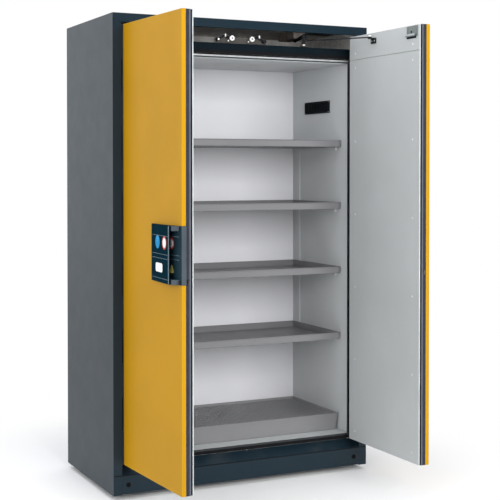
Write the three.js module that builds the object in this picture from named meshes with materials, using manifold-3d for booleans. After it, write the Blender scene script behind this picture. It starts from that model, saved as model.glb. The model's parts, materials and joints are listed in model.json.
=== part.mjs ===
// Two-door flammable storage cabinet: steel carcass, fire boards, tray shelves,
// sump tray, two hinged doors with hidden closers, and a grip handle.
// Millimetres, +Z up. The origin is the middle of the carcass footprint at floor
// level; the front faces -Y. The doors are shown open, as they rest.

import * as THREE from 'three';
import { mergeVertices } from 'three/addons/utils/BufferGeometryUtils.js';
import Module from 'manifold-3d';

const wasm = await Module();
wasm.setup();

// ---- driving dimensions --------------------------------------------------
const WIDTH = 1193;
const DEPTH = 615;
const HEIGHT = 1953;
const GAP = 0.3; // running and bedding gap between separate pieces
const SHEET = 2; // bent sheet steel

const SIDE = WIDTH / 2; // outer side plane
const FRONT = -DEPTH / 2; // front plane
const BACK = DEPTH / 2; // rear plane

const STILE_WIDTH = 37.5; // front edge of the side panels
const FRAME_DEPTH = 50; // front plane to the plane the doors seal on
const FRAME_Y = FRONT + FRAME_DEPTH;
const BOARD_Y = FRAME_Y + SHEET + GAP; // front edge of the fire boards
const SIDE_WALL = 66; // side thickness, outer sheet to inner face
const REAR_WALL = 45;
const LINER = 8.7; // hard inner lining
const INNER_X = SIDE - SIDE_WALL; // inner face of the side linings
const INNER_Y = BACK - REAR_WALL; // inner face of the rear lining

const PLINTH_TOP = 82;
const BASE_TOP = 84;
const FLOOR_Z = 138;
const CEILING_Z = 1793;
const HEADER_BOTTOM = 1814;
const DECK_Z = 1856.3; // underside of the deck above the ceiling board
const FASCIA_BOTTOM = 1917;

const HINGE_X = SIDE - 43.5; // hinge axis, on the front plane
const DOOR_BOTTOM = 125;
const DOOR_TOP = 1907;
const DOOR_WIDTH = 541;
const DOOR_THICKNESS = 48;
const DOOR_EDGE = 3.6; // hinge axis to the door's hinged edge
const DOOR_END = DOOR_EDGE + DOOR_WIDTH; // hinge axis to the free edge
const SKIN_RETURN = 16; // depth of the outer skin's folded edge
const PANEL_THICKNESS = 7; // inner cover panel
const PANEL_SPLIT = 1801.5; // joint between the inner panel and its top strip
const LEFT_OPEN = 86.9; // opening angles at rest, degrees
const RIGHT_OPEN = 90.5;

const KNUCKLE_RADIUS = 3.2;
const KNUCKLE_BORE = 1.75;
const HINGE_PIN_RADIUS = 1.5;
const KNUCKLE_WEB = 3.8; // depth of the webs that carry the knuckles
const KNUCKLES = 13;

const SHELF_BOTTOMS = [1423, 1143, 852, 554];
const SHELF_LIP = 31;
const SHELF_FRONT = FRONT + 100;
const SHELF_REAR = INNER_Y - 12;
const SHELF_HALF_WIDTH = 526;
const RAIL_HEIGHT = 12;
const RAIL_WIDTH = 12;

const CLOSER_REACH = { across: 190, back: 239 }; // forearm, from the door pin to the elbow
const DOOR_PIN = { along: 199, in: 66, radius: 3.5 }; // door bracket pin, from the hinge axis
const ARM_Z = [1904, 1909]; // main arm, under the closer body
const FOREARM_Z = [1883, 1887];
const ELBOW = { bottom: 1868, radius: 6 }; // elbow pin
const SPINDLE_RADIUS = 8;
const CLOSER_BODY = { halfWidth: 30, front: 40, rear: 110, bottom: 1912.5 }; // about the spindle

const CATCH_MIDDLE = 9; // the pair of catches stands slightly right of the middle
const CATCH_PIVOT = { x: 110, z: 1875.5, boss: 8, pin: 3 }; // x from the middle of the pair
const CATCH_KNEE = { x: 80.5, z: 1892.5, pin: 3.2 };
const CATCH_ROLLER = { x: 47.5, z: 1882, radius: 11, pin: 3 };
const CATCH_BRACKET = { y: FRONT + 80, halfWidth: 122, top: 1886, foot: 20 };

const HANDLE_START = 289; // hinge axis to the handle's edge
const HANDLE_BOTTOM = 900;
const HANDLE_TOP = 1116;
const FLAP_PIVOT = { along: 291.3, out: 3.4, barrel: 3, axle: 2 };
const FLAP_END = { along: 490, out: 27 };
const FLAP_THICKNESS = 3;

// ---- materials -----------------------------------------------------------
const paint = (color, roughness, metalness) => ({ color, roughness, metalness });
const ANTHRACITE = paint(0x39434a, 0.5, 0.1);
const YELLOW = paint(0xe0a21c, 0.42, 0.05);
const LIGHT_GREY = paint(0xb4b8bb, 0.6, 0);
const SHELF_GREY = paint(0xa9adb0, 0.45, 0.2);
const BOARD = paint(0x8d8a84, 0.9, 0);
const RUBBER = paint(0x141414, 0.85, 0);
const ZINC = paint(0x9a958c, 0.4, 0.8);
const BLACK_STEEL = paint(0x1c1e20, 0.45, 0.4);
const WHITE_PLASTIC = paint(0xe9e9e6, 0.4, 0);
const DARK_PLASTIC = paint(0x2b2f33, 0.6, 0);

const cabinet = new THREE.Group();

// ---- solid helpers -------------------------------------------------------
function toSolid(geometry) {
  const bare = geometry.index ? geometry.toNonIndexed() : geometry.clone();
  bare.deleteAttribute('normal');
  bare.deleteAttribute('uv');
  const merged = mergeVertices(bare, 1e-4);
  const vertProperties = new Float32Array(merged.attributes.position.array);
  const triVerts = new Uint32Array(merged.index.array);
  return new wasm.Manifold(new wasm.Mesh({ numProp: 3, vertProperties, triVerts }));
}

function toGeometry(solid) {
  const { vertProperties, triVerts } = solid.getMesh();
  const geometry = new THREE.BufferGeometry();
  geometry.setAttribute('position', new THREE.BufferAttribute(vertProperties, 3));
  geometry.setIndex(new THREE.BufferAttribute(triVerts, 1));
  geometry.computeVertexNormals();
  return geometry;
}

// A box between two corners; each range is [low, high] in any order.
function box(xs, ys, zs) {
  const size = [xs, ys, zs].map(([a, b]) => Math.abs(b - a));
  const geometry = new THREE.BoxGeometry(...size);
  geometry.translate(...[xs, ys, zs].map(([a, b]) => (a + b) / 2));
  return toSolid(geometry);
}

// A round bar along x, y or z, from one end to the other.
function rod(axis, [a, b], [u, v], radius, segments = 24) {
  const geometry = new THREE.CylinderGeometry(radius, radius, Math.abs(b - a), segments);
  if (axis === 'z') geometry.rotateX(Math.PI / 2);
  if (axis === 'x') geometry.rotateZ(Math.PI / 2);
  const middle = (a + b) / 2;
  const centre = { x: [middle, u, v], y: [u, middle, v], z: [u, v, middle] }[axis];
  geometry.translate(...centre);
  return toSolid(geometry);
}

// A flat outline in the XY plane, raised from z0 to z1.
function plate(points, z0, z1) {
  const shape = new THREE.Shape(points.map(([x, y]) => new THREE.Vector2(x, y)));
  const geometry = new THREE.ExtrudeGeometry(shape, { depth: z1 - z0, bevelEnabled: false });
  geometry.translate(0, 0, z0);
  return toSolid(geometry);
}

// A bar with round ends between two points of the XY plane.
function link(from, to, width, z0, z1) {
  const angle = Math.atan2(to[1] - from[1], to[0] - from[0]);
  const shape = new THREE.Shape();
  shape.absarc(from[0], from[1], width / 2, angle + Math.PI / 2, angle - Math.PI / 2, false);
  shape.absarc(to[0], to[1], width / 2, angle - Math.PI / 2, angle + Math.PI / 2, false);
  const options = { depth: z1 - z0, bevelEnabled: false, curveSegments: 10 };
  const geometry = new THREE.ExtrudeGeometry(shape, options);
  geometry.translate(0, 0, z0);
  return toSolid(geometry);
}

const join = (solids) => solids.reduce((sum, piece) => sum.add(piece));
const mirrored = (side, [a, b]) => [side * a, side * b];

function addMesh(parent, name, solid, look) {
  const material = new THREE.MeshStandardMaterial({ name, ...look });
  const mesh = new THREE.Mesh(toGeometry(solid), material);
  mesh.name = name;
  parent.add(mesh);
  return mesh;
}

const add = (name, solid, look) => addMesh(cabinet, name, solid, look);

// An open tray: outer box, walls and floor of one sheet thickness.
function tray(xs, ys, [z0, z1]) {
  const within = ([low, high]) => [low + SHEET, high - SHEET];
  return box(xs, ys, [z0, z1]).subtract(box(within(xs), within(ys), [z0 + SHEET, z1 + SHEET]));
}

// ---- hinge knuckles ------------------------------------------------------
const KNUCKLE_PITCH = (DOOR_TOP - DOOR_BOTTOM) / KNUCKLES;

function knuckleSpan(index) {
  const low = DOOR_BOTTOM + index * KNUCKLE_PITCH;
  return [low + GAP / 2, low + KNUCKLE_PITCH - GAP / 2];
}

const FRAME_KNUCKLES = Array.from({ length: KNUCKLES }, (_, i) => i).filter((i) => i % 2 === 0);
const DOOR_KNUCKLES = Array.from({ length: KNUCKLES }, (_, i) => i).filter((i) => i % 2 === 1);

// ---- carcass shell -------------------------------------------------------
const REAR_FLANGE = 30; // side panels' folded edge at the rear
const CORNER = 10; // doubled sheet behind the stile's corner

function sidePanel(side) {
  const across = (a, b) => mirrored(side, [a, b]);
  const flangeEdge = SIDE - STILE_WIDTH;
  const below = [0, FASCIA_BOTTOM - GAP];
  const sheetWall = box(across(SIDE - SHEET, SIDE), [FRONT + SHEET + GAP, BACK], [0, HEIGHT]);
  const stile = box(across(flangeEdge, SIDE), [FRONT, FRONT + SHEET], below);
  const corner = box(across(SIDE - SHEET, SIDE), [FRONT, FRONT + CORNER], below);
  const stileReturn = box(across(flangeEdge, flangeEdge + SHEET), [FRONT, FRAME_Y - GAP], below);
  const rearFlange = box(across(SIDE - REAR_FLANGE, SIDE), [BACK - SHEET, BACK], [0, HEIGHT]);
  const axis = [side * HINGE_X, FRONT];
  const knuckles = FRAME_KNUCKLES.flatMap((index) => {
    const span = knuckleSpan(index);
    const barrel = rod('z', span, axis, KNUCKLE_RADIUS, 16);
    const web = box(across(HINGE_X + 2, flangeEdge + 0.5), [FRONT, FRONT + KNUCKLE_WEB], span);
    return [barrel, web];
  });
  const pinSpan = [DOOR_BOTTOM + 1, DOOR_TOP - 1];
  const pin = rod('z', pinSpan, axis, HINGE_PIN_RADIUS, 12);
  return join([sheetWall, stile, corner, stileReturn, rearFlange, ...knuckles, pin]);
}

add('side_panel_left', sidePanel(-1), ANTHRACITE);
add('side_panel_right', sidePanel(1), ANTHRACITE);

const REAR_EDGE = SIDE - REAR_FLANGE - GAP;
const rearPanelZ = [BASE_TOP, HEIGHT - SHEET - GAP];
add('rear_panel', box([-REAR_EDGE, REAR_EDGE], [BACK - SHEET, BACK], rearPanelZ), ANTHRACITE);

const SPIGOT = { y: BACK - 110, bore: 35, radius: 37.5, flange: 52, height: 55 };

function roofPanel() {
  const fascia = box([-SIDE, SIDE], [FRONT, FRONT + SHEET], [FASCIA_BOTTOM, HEIGHT]);
  const lip = box([-SIDE + 40, SIDE - 40], [FRONT, FRONT + 18], [FASCIA_BOTTOM, FASCIA_BOTTOM + SHEET]);
  const inner = SIDE - SHEET - GAP;
  const top = box([-inner, inner], [FRONT, BACK - SHEET - GAP], [HEIGHT - SHEET, HEIGHT]);
  const hole = rod('z', [HEIGHT - 10, HEIGHT + 10], [0, SPIGOT.y], SPIGOT.bore, 32);
  return join([fascia, lip, top]).subtract(hole);
}

add('roof_panel', roofPanel(), ANTHRACITE);

function exhaustSpigot() {
  const base = HEIGHT + GAP;
  const flange = rod('z', [base, base + 3], [0, SPIGOT.y], SPIGOT.flange, 32);
  const tube = rod('z', [base, base + SPIGOT.height], [0, SPIGOT.y], SPIGOT.radius, 32);
  const bore = rod('z', [base - 1, base + SPIGOT.height + 1], [0, SPIGOT.y], SPIGOT.bore, 32);
  return flange.add(tube).subtract(bore);
}

add('exhaust_spigot', exhaustSpigot(), ZINC);

// ---- base, plinth and levelling feet ------------------------------------
const FRAME_OPENING = SIDE - STILE_WIDTH - GAP; // clear of the stiles
const FEET = [
  ['front_left', -1, -1],
  ['front_right', 1, -1],
  ['rear_left', -1, 1],
  ['rear_right', 1, 1],
];
const FOOT = { x: 530, y: 245, pad: 20, stud: 6 };

function baseFrame() {
  const outer = FRAME_OPENING;
  const front = FRONT + 10;
  const rear = BACK - 6;
  const wall = 4;
  const ring = box([-outer, outer], [front, rear], [0, BASE_TOP - GAP])
    .subtract(box([-outer + wall, outer - wall], [front + wall, rear - wall], [-1, BASE_TOP + 1]));
  const within = [front + 1, rear - 1];
  const deck = box([-outer + 1, outer - 1], within, [BASE_TOP - 4, BASE_TOP - GAP - 0.2]);
  const skid = box([-40, 40], within, [0, wall]);
  const web = box([-wall / 2, wall / 2], [front + 2, rear - 2], [1, BASE_TOP - 2]);
  const sillSection = [
    [FRONT + SHEET + GAP, PLINTH_TOP - 3],
    [FRONT + SHEET + GAP, PLINTH_TOP + 1],
    [FRAME_Y - 2, FLOOR_Z - 25],
    [FRAME_Y, FLOOR_Z - 25],
    [FRAME_Y, PLINTH_TOP - 3],
  ];
  // The sill's section is drawn in Y and Z, then stood up along X.
  const shape = new THREE.Shape(sillSection.map(([y, z]) => new THREE.Vector2(y, z)));
  const length = 2 * FRAME_OPENING;
  const sillGeometry = new THREE.ExtrudeGeometry(shape, { depth: length, bevelEnabled: false });
  sillGeometry.rotateX(Math.PI / 2);
  sillGeometry.rotateZ(Math.PI / 2);
  sillGeometry.translate(-FRAME_OPENING, 0, 0);
  const bosses = FEET.map(([, sx, sy]) => {
    const centre = [sx * FOOT.x, sy * FOOT.y];
    return rod('z', [BASE_TOP - 34, BASE_TOP - 2], centre, 14, 16);
  });
  const bores = FEET.map(([, sx, sy]) => {
    const centre = [sx * FOOT.x, sy * FOOT.y];
    return rod('z', [BASE_TOP - 40, BASE_TOP - 5], centre, FOOT.stud + GAP, 16);
  });
  const body = join([ring, deck, skid, web, toSolid(sillGeometry), ...bosses]);
  return body.subtract(join(bores));
}

add('base_frame', baseFrame(), ANTHRACITE);

function levellingFoot(sx, sy) {
  const centre = [sx * FOOT.x, sy * FOOT.y];
  const pad = rod('z', [1, 10], centre, FOOT.pad, 24);
  const stud = rod('z', [8, BASE_TOP - 8], centre, FOOT.stud, 16);
  return pad.add(stud);
}

for (const [place, sx, sy] of FEET) {
  add(`levelling_foot_${place}`, levellingFoot(sx, sy), ZINC);
}

const PLUG_HOLE = { x: SIDE - 64, z: 40, radius: 8.5 };

function plinthPanel() {
  const front = box([-FRAME_OPENING, FRAME_OPENING], [FRONT, FRONT + SHEET], [3, PLINTH_TOP]);
  const holes = [-1, 1].map((side) => {
    return rod('y', [FRONT - 1, FRONT + 5], [side * PLUG_HOLE.x, PLUG_HOLE.z], PLUG_HOLE.radius, 24);
  });
  return front.subtract(join(holes));
}

add('plinth_panel', plinthPanel(), ANTHRACITE);

// ---- fire boards and inner lining ---------------------------------------
const LINER_BACK = INNER_X + LINER; // outer face of the side lining
const BOARD_TOP = DECK_Z - GAP;
const REAR_BOARD_Y = INNER_Y + LINER + GAP;

for (const [name, side] of [['left', -1], ['right', 1]]) {
  const boardX = mirrored(side, [LINER_BACK + GAP, SIDE - SHEET - GAP]);
  const boardZ = [BASE_TOP, BOARD_TOP];
  add(`fire_board_${name}`, box(boardX, [BOARD_Y, BACK - SHEET - GAP], boardZ), BOARD);
  const linerX = mirrored(side, [INNER_X, LINER_BACK]);
  const linerZ = [FLOOR_Z + GAP, CEILING_Z - GAP];
  add(`liner_${name}`, box(linerX, [BOARD_Y, REAR_BOARD_Y - GAP], linerZ), LIGHT_GREY);
}

const rearBoardY = [REAR_BOARD_Y, BACK - SHEET - GAP];
add('fire_board_rear', box([-LINER_BACK, LINER_BACK], rearBoardY, [BASE_TOP, BOARD_TOP]), BOARD);
const rearLinerX = [-INNER_X + GAP, INNER_X - GAP];
const rearLinerY = [INNER_Y, INNER_Y + LINER];
add('liner_rear', box(rearLinerX, rearLinerY, [FLOOR_Z + GAP, CEILING_Z - GAP]), LIGHT_GREY);

const levelBoardX = [-LINER_BACK, LINER_BACK];
const levelBoardY = [BOARD_Y, REAR_BOARD_Y - GAP];
add('floor_board', box(levelBoardX, levelBoardY, [BASE_TOP, FLOOR_Z]), LIGHT_GREY);
add('ceiling_board', box(levelBoardX, levelBoardY, [CEILING_Z, BOARD_TOP]), LIGHT_GREY);

function headerPlate() {
  const frontZ = [HEADER_BOTTOM, DECK_Z + SHEET];
  const front = box([-FRAME_OPENING, FRAME_OPENING], [FRAME_Y, FRAME_Y + SHEET], frontZ);
  const deckX = SIDE - SHEET - GAP - 4;
  const deck = box([-deckX, deckX], [FRAME_Y + SHEET / 2, BACK - 6], [DECK_Z, DECK_Z + SHEET]);
  const notch = box([FRAME_OPENING, SIDE], [FRONT, FRAME_Y + 0.5], [DECK_Z - 1, DECK_Z + 9]);
  return front.add(deck).subtract(notch);
}

add('header_plate', headerPlate(), ANTHRACITE);

function frameSeal() {
  const y = [FRAME_Y - 1.6, FRAME_Y - GAP];
  const outer = SIDE - 50;
  const inner = INNER_X;
  const bottom = FLOOR_Z - 22;
  const ring = box([-outer, outer], y, [bottom, HEADER_BOTTOM + 14]);
  const opening = box([-inner, inner], [y[0] - 1, y[1] + 1], [bottom + 12, HEADER_BOTTOM]);
  return ring.subtract(opening);
}

add('frame_seal', frameSeal(), RUBBER);

// ---- air intake grille on the right wall --------------------------------
const GRILLE = { y0: -94, y1: 136, z0: 1583, z1: 1639, slots: 14 };

function ventGrille() {
  const x = [INNER_X - GAP - 6, INNER_X - GAP];
  const plateSolid = box(x, [GRILLE.y0, GRILLE.y1], [GRILLE.z0, GRILLE.z1]);
  const pitch = (GRILLE.y1 - GRILLE.y0 - 16) / GRILLE.slots;
  const slots = Array.from({ length: GRILLE.slots }, (_, i) => {
    const y = GRILLE.y0 + 8 + pitch * (i + 0.5);
    const half = pitch * 0.3;
    return box([x[0] - 1, x[1] + 1], [y - half, y + half], [GRILLE.z0 + 8, GRILLE.z1 - 8]);
  });
  return plateSolid.subtract(join(slots));
}

add('vent_grille', ventGrille(), DARK_PLASTIC);

// ---- shelves and their racks --------------------------------------------
const RACK = { front: -160, uprightFront: 190, rear: 222, thickness: 3, below: 40, above: 20 };

function shelfRack(side) {
  const wall = INNER_X - GAP;
  const uprightX = mirrored(side, [wall - RACK.thickness, wall]);
  const uprightZ = [SHELF_BOTTOMS.at(-1) - RACK.below, SHELF_BOTTOMS[0] + RACK.above];
  const upright = box(uprightX, [RACK.uprightFront, RACK.rear], uprightZ);
  const rails = SHELF_BOTTOMS.map((bottom) => {
    const x = mirrored(side, [wall - RAIL_WIDTH, wall]);
    return box(x, [RACK.front, RACK.rear], [bottom - GAP - RAIL_HEIGHT, bottom - GAP]);
  });
  // The shelves' ends pass in front of the upright.
  return join([upright, ...rails]);
}

add('shelf_rack_left', shelfRack(-1), SHELF_GREY);
add('shelf_rack_right', shelfRack(1), SHELF_GREY);

SHELF_BOTTOMS.forEach((bottom, i) => {
  const x = [-SHELF_HALF_WIDTH, SHELF_HALF_WIDTH];
  const y = [SHELF_FRONT, SHELF_REAR];
  add(`shelf_${i + 1}`, tray(x, y, [bottom, bottom + SHELF_LIP]), SHELF_GREY);
});

// ---- sump tray and perforated insert ------------------------------------
const SUMP = { x: 524, front: FRONT + 120, rear: INNER_Y - 10, top: 215, draft: 8 };

// A block whose sides lean out by the draft from bottom to top.
function draftedBlock(halfX, [y0, y1], [z0, z1], draft) {
  const geometry = new THREE.BoxGeometry(2 * halfX, y1 - y0, z1 - z0);
  geometry.translate(0, (y0 + y1) / 2, (z0 + z1) / 2);
  const position = geometry.attributes.position;
  const middle = (y0 + y1) / 2;
  for (let i = 0; i < position.count; i += 1) {
    if (position.getZ(i) > z0 + 0.01) continue;
    position.setX(i, position.getX(i) - Math.sign(position.getX(i)) * draft);
    position.setY(i, position.getY(i) - Math.sign(position.getY(i) - middle) * draft);
  }
  return toSolid(geometry);
}

function sumpTray() {
  const bottom = FLOOR_Z + GAP;
  const y = [SUMP.front, SUMP.rear];
  const shell = draftedBlock(SUMP.x - 2, [y[0] + 2, y[1] - 2], [bottom, SUMP.top], SUMP.draft);
  const inside = [y[0] + 4, y[1] - 4];
  const hollow = draftedBlock(SUMP.x - 4, inside, [bottom + SHEET, SUMP.top + SHEET], SUMP.draft);
  const rim = box([-SUMP.x, SUMP.x], y, [SUMP.top - 10, SUMP.top]);
  return shell.add(rim).subtract(hollow);
}

add('sump_tray', sumpTray(), SHELF_GREY);

function perforatedInsert() {
  const x = SUMP.x - 12;
  const y = [SUMP.front + 12, SUMP.rear - 12];
  const z = [FLOOR_Z + GAP + SHEET + GAP + 30, SUMP.top - 10];
  const cover = box([-x, x], y, z).subtract(
    box([-x + SHEET, x - SHEET], [y[0] + SHEET, y[1] - SHEET], [z[0] - 1, z[1] - SHEET]));
  const columns = 14;
  const rows = 6;
  const holes = [];
  for (let i = 0; i < columns; i += 1) {
    for (let j = 0; j < rows; j += 1) {
      const centre = [
        -x + ((i + 0.5) * 2 * x) / columns,
        y[0] + ((j + 0.5) * (y[1] - y[0])) / rows,
      ];
      holes.push(rod('z', [z[1] - 5, z[1] + 1], centre, 8, 8));
    }
  }
  return cover.subtract(join(holes));
}

add('perforated_insert', perforatedInsert(), SHELF_GREY);

// ---- door closers --------------------------------------------------------
// Each closer is a parallelogram with its door: the main arm is as long as the
// door pin's radius and turns with the door, so the forearm keeps its direction.
const HINGES = {
  left: { side: -1, angle: -THREE.MathUtils.degToRad(LEFT_OPEN) },
  right: { side: 1, angle: THREE.MathUtils.degToRad(RIGHT_OPEN) },
};

function turned([x, y], angle) {
  return [x * Math.cos(angle) - y * Math.sin(angle), x * Math.sin(angle) + y * Math.cos(angle)];
}

function addCloser(name, { side, angle }) {
  const spindle = [side * (HINGE_X - CLOSER_REACH.across), FRONT + CLOSER_REACH.back];
  const armOffset = turned([-side * DOOR_PIN.along, DOOR_PIN.in], angle);
  const elbow = [spindle[0] + armOffset[0], spindle[1] + armOffset[1]];
  const doorPin = [side * HINGE_X + armOffset[0], FRONT + armOffset[1]];

  const { halfWidth, front, rear, bottom } = CLOSER_BODY;
  const bodyX = [spindle[0] - halfWidth, spindle[0] + halfWidth];
  const bodyY = [spindle[1] - front, spindle[1] + rear];
  const body = box(bodyX, bodyY, [bottom, HEIGHT - SHEET - GAP])
    .subtract(rod('z', [bottom - 1, bottom + 12], spindle, SPINDLE_RADIUS + GAP));
  add(`${name}_closer_body`, body, BLACK_STEEL);

  const arm = join([
    link(spindle, elbow, 20, ...ARM_Z),
    rod('z', [ARM_Z[0], bottom + 10], spindle, SPINDLE_RADIUS),
    rod('z', [ELBOW.bottom, ARM_Z[1]], elbow, ELBOW.radius, 16),
  ]);
  add(`${name}_closer_arm`, arm, BLACK_STEEL);

  // The forearm's eye round the door pin is wider than the pin: that pivot is open.
  const through = [FOREARM_Z[0] - 1, FOREARM_Z[1] + 1];
  const forearm = join([
    link(elbow, doorPin, 15, ...FOREARM_Z),
    rod('z', FOREARM_Z, elbow, ELBOW.radius + 3.5),
  ])
    .subtract(rod('z', through, elbow, ELBOW.radius + GAP, 16))
    .subtract(rod('z', through, doorPin, DOOR_PIN.radius + 2, 16));
  add(`${name}_closer_forearm`, forearm, BLACK_STEEL);
}

addCloser('left', HINGES.left);
addCloser('right', HINGES.right);

// ---- door catches on a bracket behind the header -------------------------
const catchAt = (side, point) => ({ x: CATCH_MIDDLE + side * point.x, z: point.z });

function catchBracket() {
  const { y, halfWidth, top, foot } = CATCH_BRACKET;
  const x = [CATCH_MIDDLE - halfWidth, CATCH_MIDDLE + halfWidth];
  const bottom = DECK_Z + SHEET + GAP;
  const upright = box(x, [y, y + SHEET], [bottom, top]);
  const base = box(x, [y, y + foot], [bottom, bottom + SHEET]);
  const holes = [-1, 1].map((side) => {
    const centre = catchAt(side, CATCH_PIVOT);
    return rod('y', [y - 1, y + SHEET + 1], [centre.x, centre.z], CATCH_PIVOT.pin + GAP, 16);
  });
  return upright.add(base).subtract(join(holes));
}

add('catch_bracket', catchBracket(), ZINC);

// Bars drawn in X and Z and given their thickness along Y.
function standingLink(from, to, width, [y0, y1]) {
  const flat = toGeometry(link([from.x, from.z], [to.x, to.z], width, 0, y1 - y0));
  flat.rotateX(Math.PI / 2);
  flat.translate(0, y1, 0);
  return toSolid(flat);
}

// Depths behind the front plane.
const LEVER_DEPTH = [67, 71];
const ROLLER_DEPTH = [57, 66];
const LEVER_WIDTH = 9;

function addCatch(name, side) {
  const behind = ([a, b]) => [FRONT + a, FRONT + b];
  const pinThrough = (point, depth, radius) => rod('y', behind(depth), [point.x, point.z], radius, 16);
  const pivot = catchAt(side, CATCH_PIVOT);
  const knee = catchAt(side, CATCH_KNEE);
  const roller = catchAt(side, CATCH_ROLLER);
  const lever = join([
    standingLink(pivot, knee, LEVER_WIDTH, behind(LEVER_DEPTH)),
    standingLink(knee, roller, LEVER_WIDTH, behind(LEVER_DEPTH)),
    pinThrough(pivot, [62, 76], CATCH_PIVOT.boss),
    pinThrough(pivot, [76, 86], CATCH_PIVOT.pin),
    pinThrough(knee, [58, 68], CATCH_KNEE.pin),
    pinThrough(roller, [55, 68], CATCH_ROLLER.pin),
  ]);
  add(`${name}_catch_lever`, lever, BLACK_STEEL);
  const wheel = rod('y', behind(ROLLER_DEPTH), [roller.x, roller.z], CATCH_ROLLER.radius, 32)
    .subtract(pinThrough(roller, [50, 70], CATCH_ROLLER.pin + GAP));
  add(`${name}_catch_roller`, wheel, WHITE_PLASTIC);
}

addCatch('left', -1);
addCatch('right', 1);

// ---- doors ---------------------------------------------------------------
// Door pieces are drawn closed, in a group on the hinge axis: `along` runs from
// the hinge to the free edge, `inward` from the outer face to the inner face.
function doorGroup({ side, angle }) {
  const group = new THREE.Group();
  group.position.set(side * HINGE_X, FRONT, 0);
  group.rotation.z = angle;
  cabinet.add(group);
  return group;
}

function doorBox(side, [a, b], inward, z) {
  return box(mirrored(-side, [a, b]), inward, z);
}

const LOCK = { along: 535, z: 910, radius: 6.5, front: -8, rear: 19 };
const BOLT = { start: 505, end: 541, inward: [19.5, 27.5], z: [901, 919] };
const KEEPER_START = 525; // end of the pocket that the bolt enters in the other door

function doorSkin(side, hasLock) {
  const along = [DOOR_EDGE, DOOR_END];
  const z = [DOOR_BOTTOM, DOOR_TOP];
  const inside = [along[0] + SHEET, along[1] - SHEET];
  const pan = doorBox(side, along, [0, SKIN_RETURN], z)
    .subtract(doorBox(side, inside, [SHEET, SKIN_RETURN + 1], [z[0] + SHEET, z[1] - SHEET]));
  return hasLock ? pan.subtract(lockBore(side)) : pan;
}

function boltSlot(side, start) {
  const clear = ([a, b]) => [a - GAP, b + GAP];
  return doorBox(side, [start, DOOR_END + 1], clear(BOLT.inward), clear(BOLT.z));
}

function lockBore(side) {
  const depth = [LOCK.front - 2, LOCK.rear + GAP];
  return rod('y', depth, [-side * LOCK.along, LOCK.z], LOCK.radius + GAP);
}

function doorCore(side, hasLock) {
  const margin = SHEET + GAP;
  const along = [DOOR_EDGE + margin, DOOR_END - margin];
  const inward = [margin, DOOR_THICKNESS - PANEL_THICKNESS - GAP];
  const board = doorBox(side, along, inward, [DOOR_BOTTOM + margin, DOOR_TOP - margin]);
  if (!hasLock) return board.subtract(boltSlot(side, KEEPER_START));
  return board.subtract(boltSlot(side, BOLT.start - 3)).subtract(lockBore(side));
}

function doorLeaf(side) {
  const leafZ = [DOOR_BOTTOM + 1, DOOR_TOP - 1];
  const leaf = doorBox(side, [2.2, DOOR_EDGE - GAP], [3.6, 30], leafZ);
  const knuckles = DOOR_KNUCKLES.flatMap((index) => {
    const span = knuckleSpan(index);
    const web = doorBox(side, [2.1, DOOR_EDGE - GAP], [0, KNUCKLE_WEB], span);
    return [rod('z', span, [0, 0], KNUCKLE_RADIUS, 16), web];
  });
  const bore = rod('z', [DOOR_BOTTOM - 5, DOOR_TOP + 5], [0, 0], KNUCKLE_BORE, 12);
  return join([leaf, ...knuckles]).subtract(bore);
}

const INNER_FACE = [DOOR_THICKNESS - PANEL_THICKNESS, DOOR_THICKNESS];
const PANEL_ALONG = [DOOR_EDGE + 3, DOOR_END - 3];
const FITTING_BASE = DOOR_THICKNESS + GAP; // fittings screwed to the inner face

const STRIKER = {
  along: [452, 530],
  z: [1860, 1903],
  sheet: 1.2,
  hook: { z: 1868.5, reach: 8, lip: 9 },
  hole: { along: 484, z: 1879, radius: 5 },
};

// Hooked plate that the catch roller holds when the door is closed.
function strikerPlate(side) {
  const { along, z, sheet, hook, hole } = STRIKER;
  const hookAlong = [along[0], along[1] - 12];
  const tip = FITTING_BASE + hook.reach;
  const face = doorBox(side, along, [FITTING_BASE, FITTING_BASE + sheet], z);
  const flange = doorBox(side, hookAlong, [FITTING_BASE, tip], [hook.z - sheet, hook.z]);
  const lip = doorBox(side, hookAlong, [tip - sheet, tip], [hook.z - hook.lip, hook.z]);
  const centre = [-side * hole.along, hole.z];
  return join([face, flange, lip])
    .subtract(rod('y', [FITTING_BASE - 1, FITTING_BASE + 3], centre, hole.radius, 20));
}

const BRACKET = { along: [184, 222], z: [1859, 1882.7], pad: 4, shelf: [190, 212], sheet: 4 };

function closerBracket(side) {
  const { along, z, pad, shelf, sheet } = BRACKET;
  const plateZ = [z[1] - sheet, z[1]];
  return join([
    doorBox(side, along, [FITTING_BASE, FITTING_BASE + pad], z),
    doorBox(side, shelf, [FITTING_BASE, DOOR_PIN.in + 6], plateZ),
    rod('z', [z[1] - 1, FOREARM_Z[1] + 2], [-side * DOOR_PIN.along, DOOR_PIN.in], DOOR_PIN.radius, 16),
  ]);
}

function addDoor(name, hinge, hasLock) {
  const { side } = hinge;
  const group = doorGroup(hinge);
  const put = (piece, solid, look) => addMesh(group, `${name}_${piece}`, solid, look);
  put('door_skin', doorSkin(side, hasLock), YELLOW);
  put('door_core', doorCore(side, hasLock), BOARD);
  put('hinge_leaf', doorLeaf(side), BLACK_STEEL);
  const panelZ = [DOOR_BOTTOM + 2, PANEL_SPLIT];
  put('inner_panel', doorBox(side, PANEL_ALONG, INNER_FACE, panelZ), LIGHT_GREY);
  const topZ = [PANEL_SPLIT + 1.5, DOOR_TOP - 3];
  put('inner_top_strip', doorBox(side, PANEL_ALONG, INNER_FACE, topZ), LIGHT_GREY);
  put('striker_plate', strikerPlate(side), ZINC);
  put('closer_bracket', closerBracket(side), BLACK_STEEL);
  return group;
}

const leftDoor = addDoor('left', HINGES.left, true);
addDoor('right', HINGES.right, false);

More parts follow.
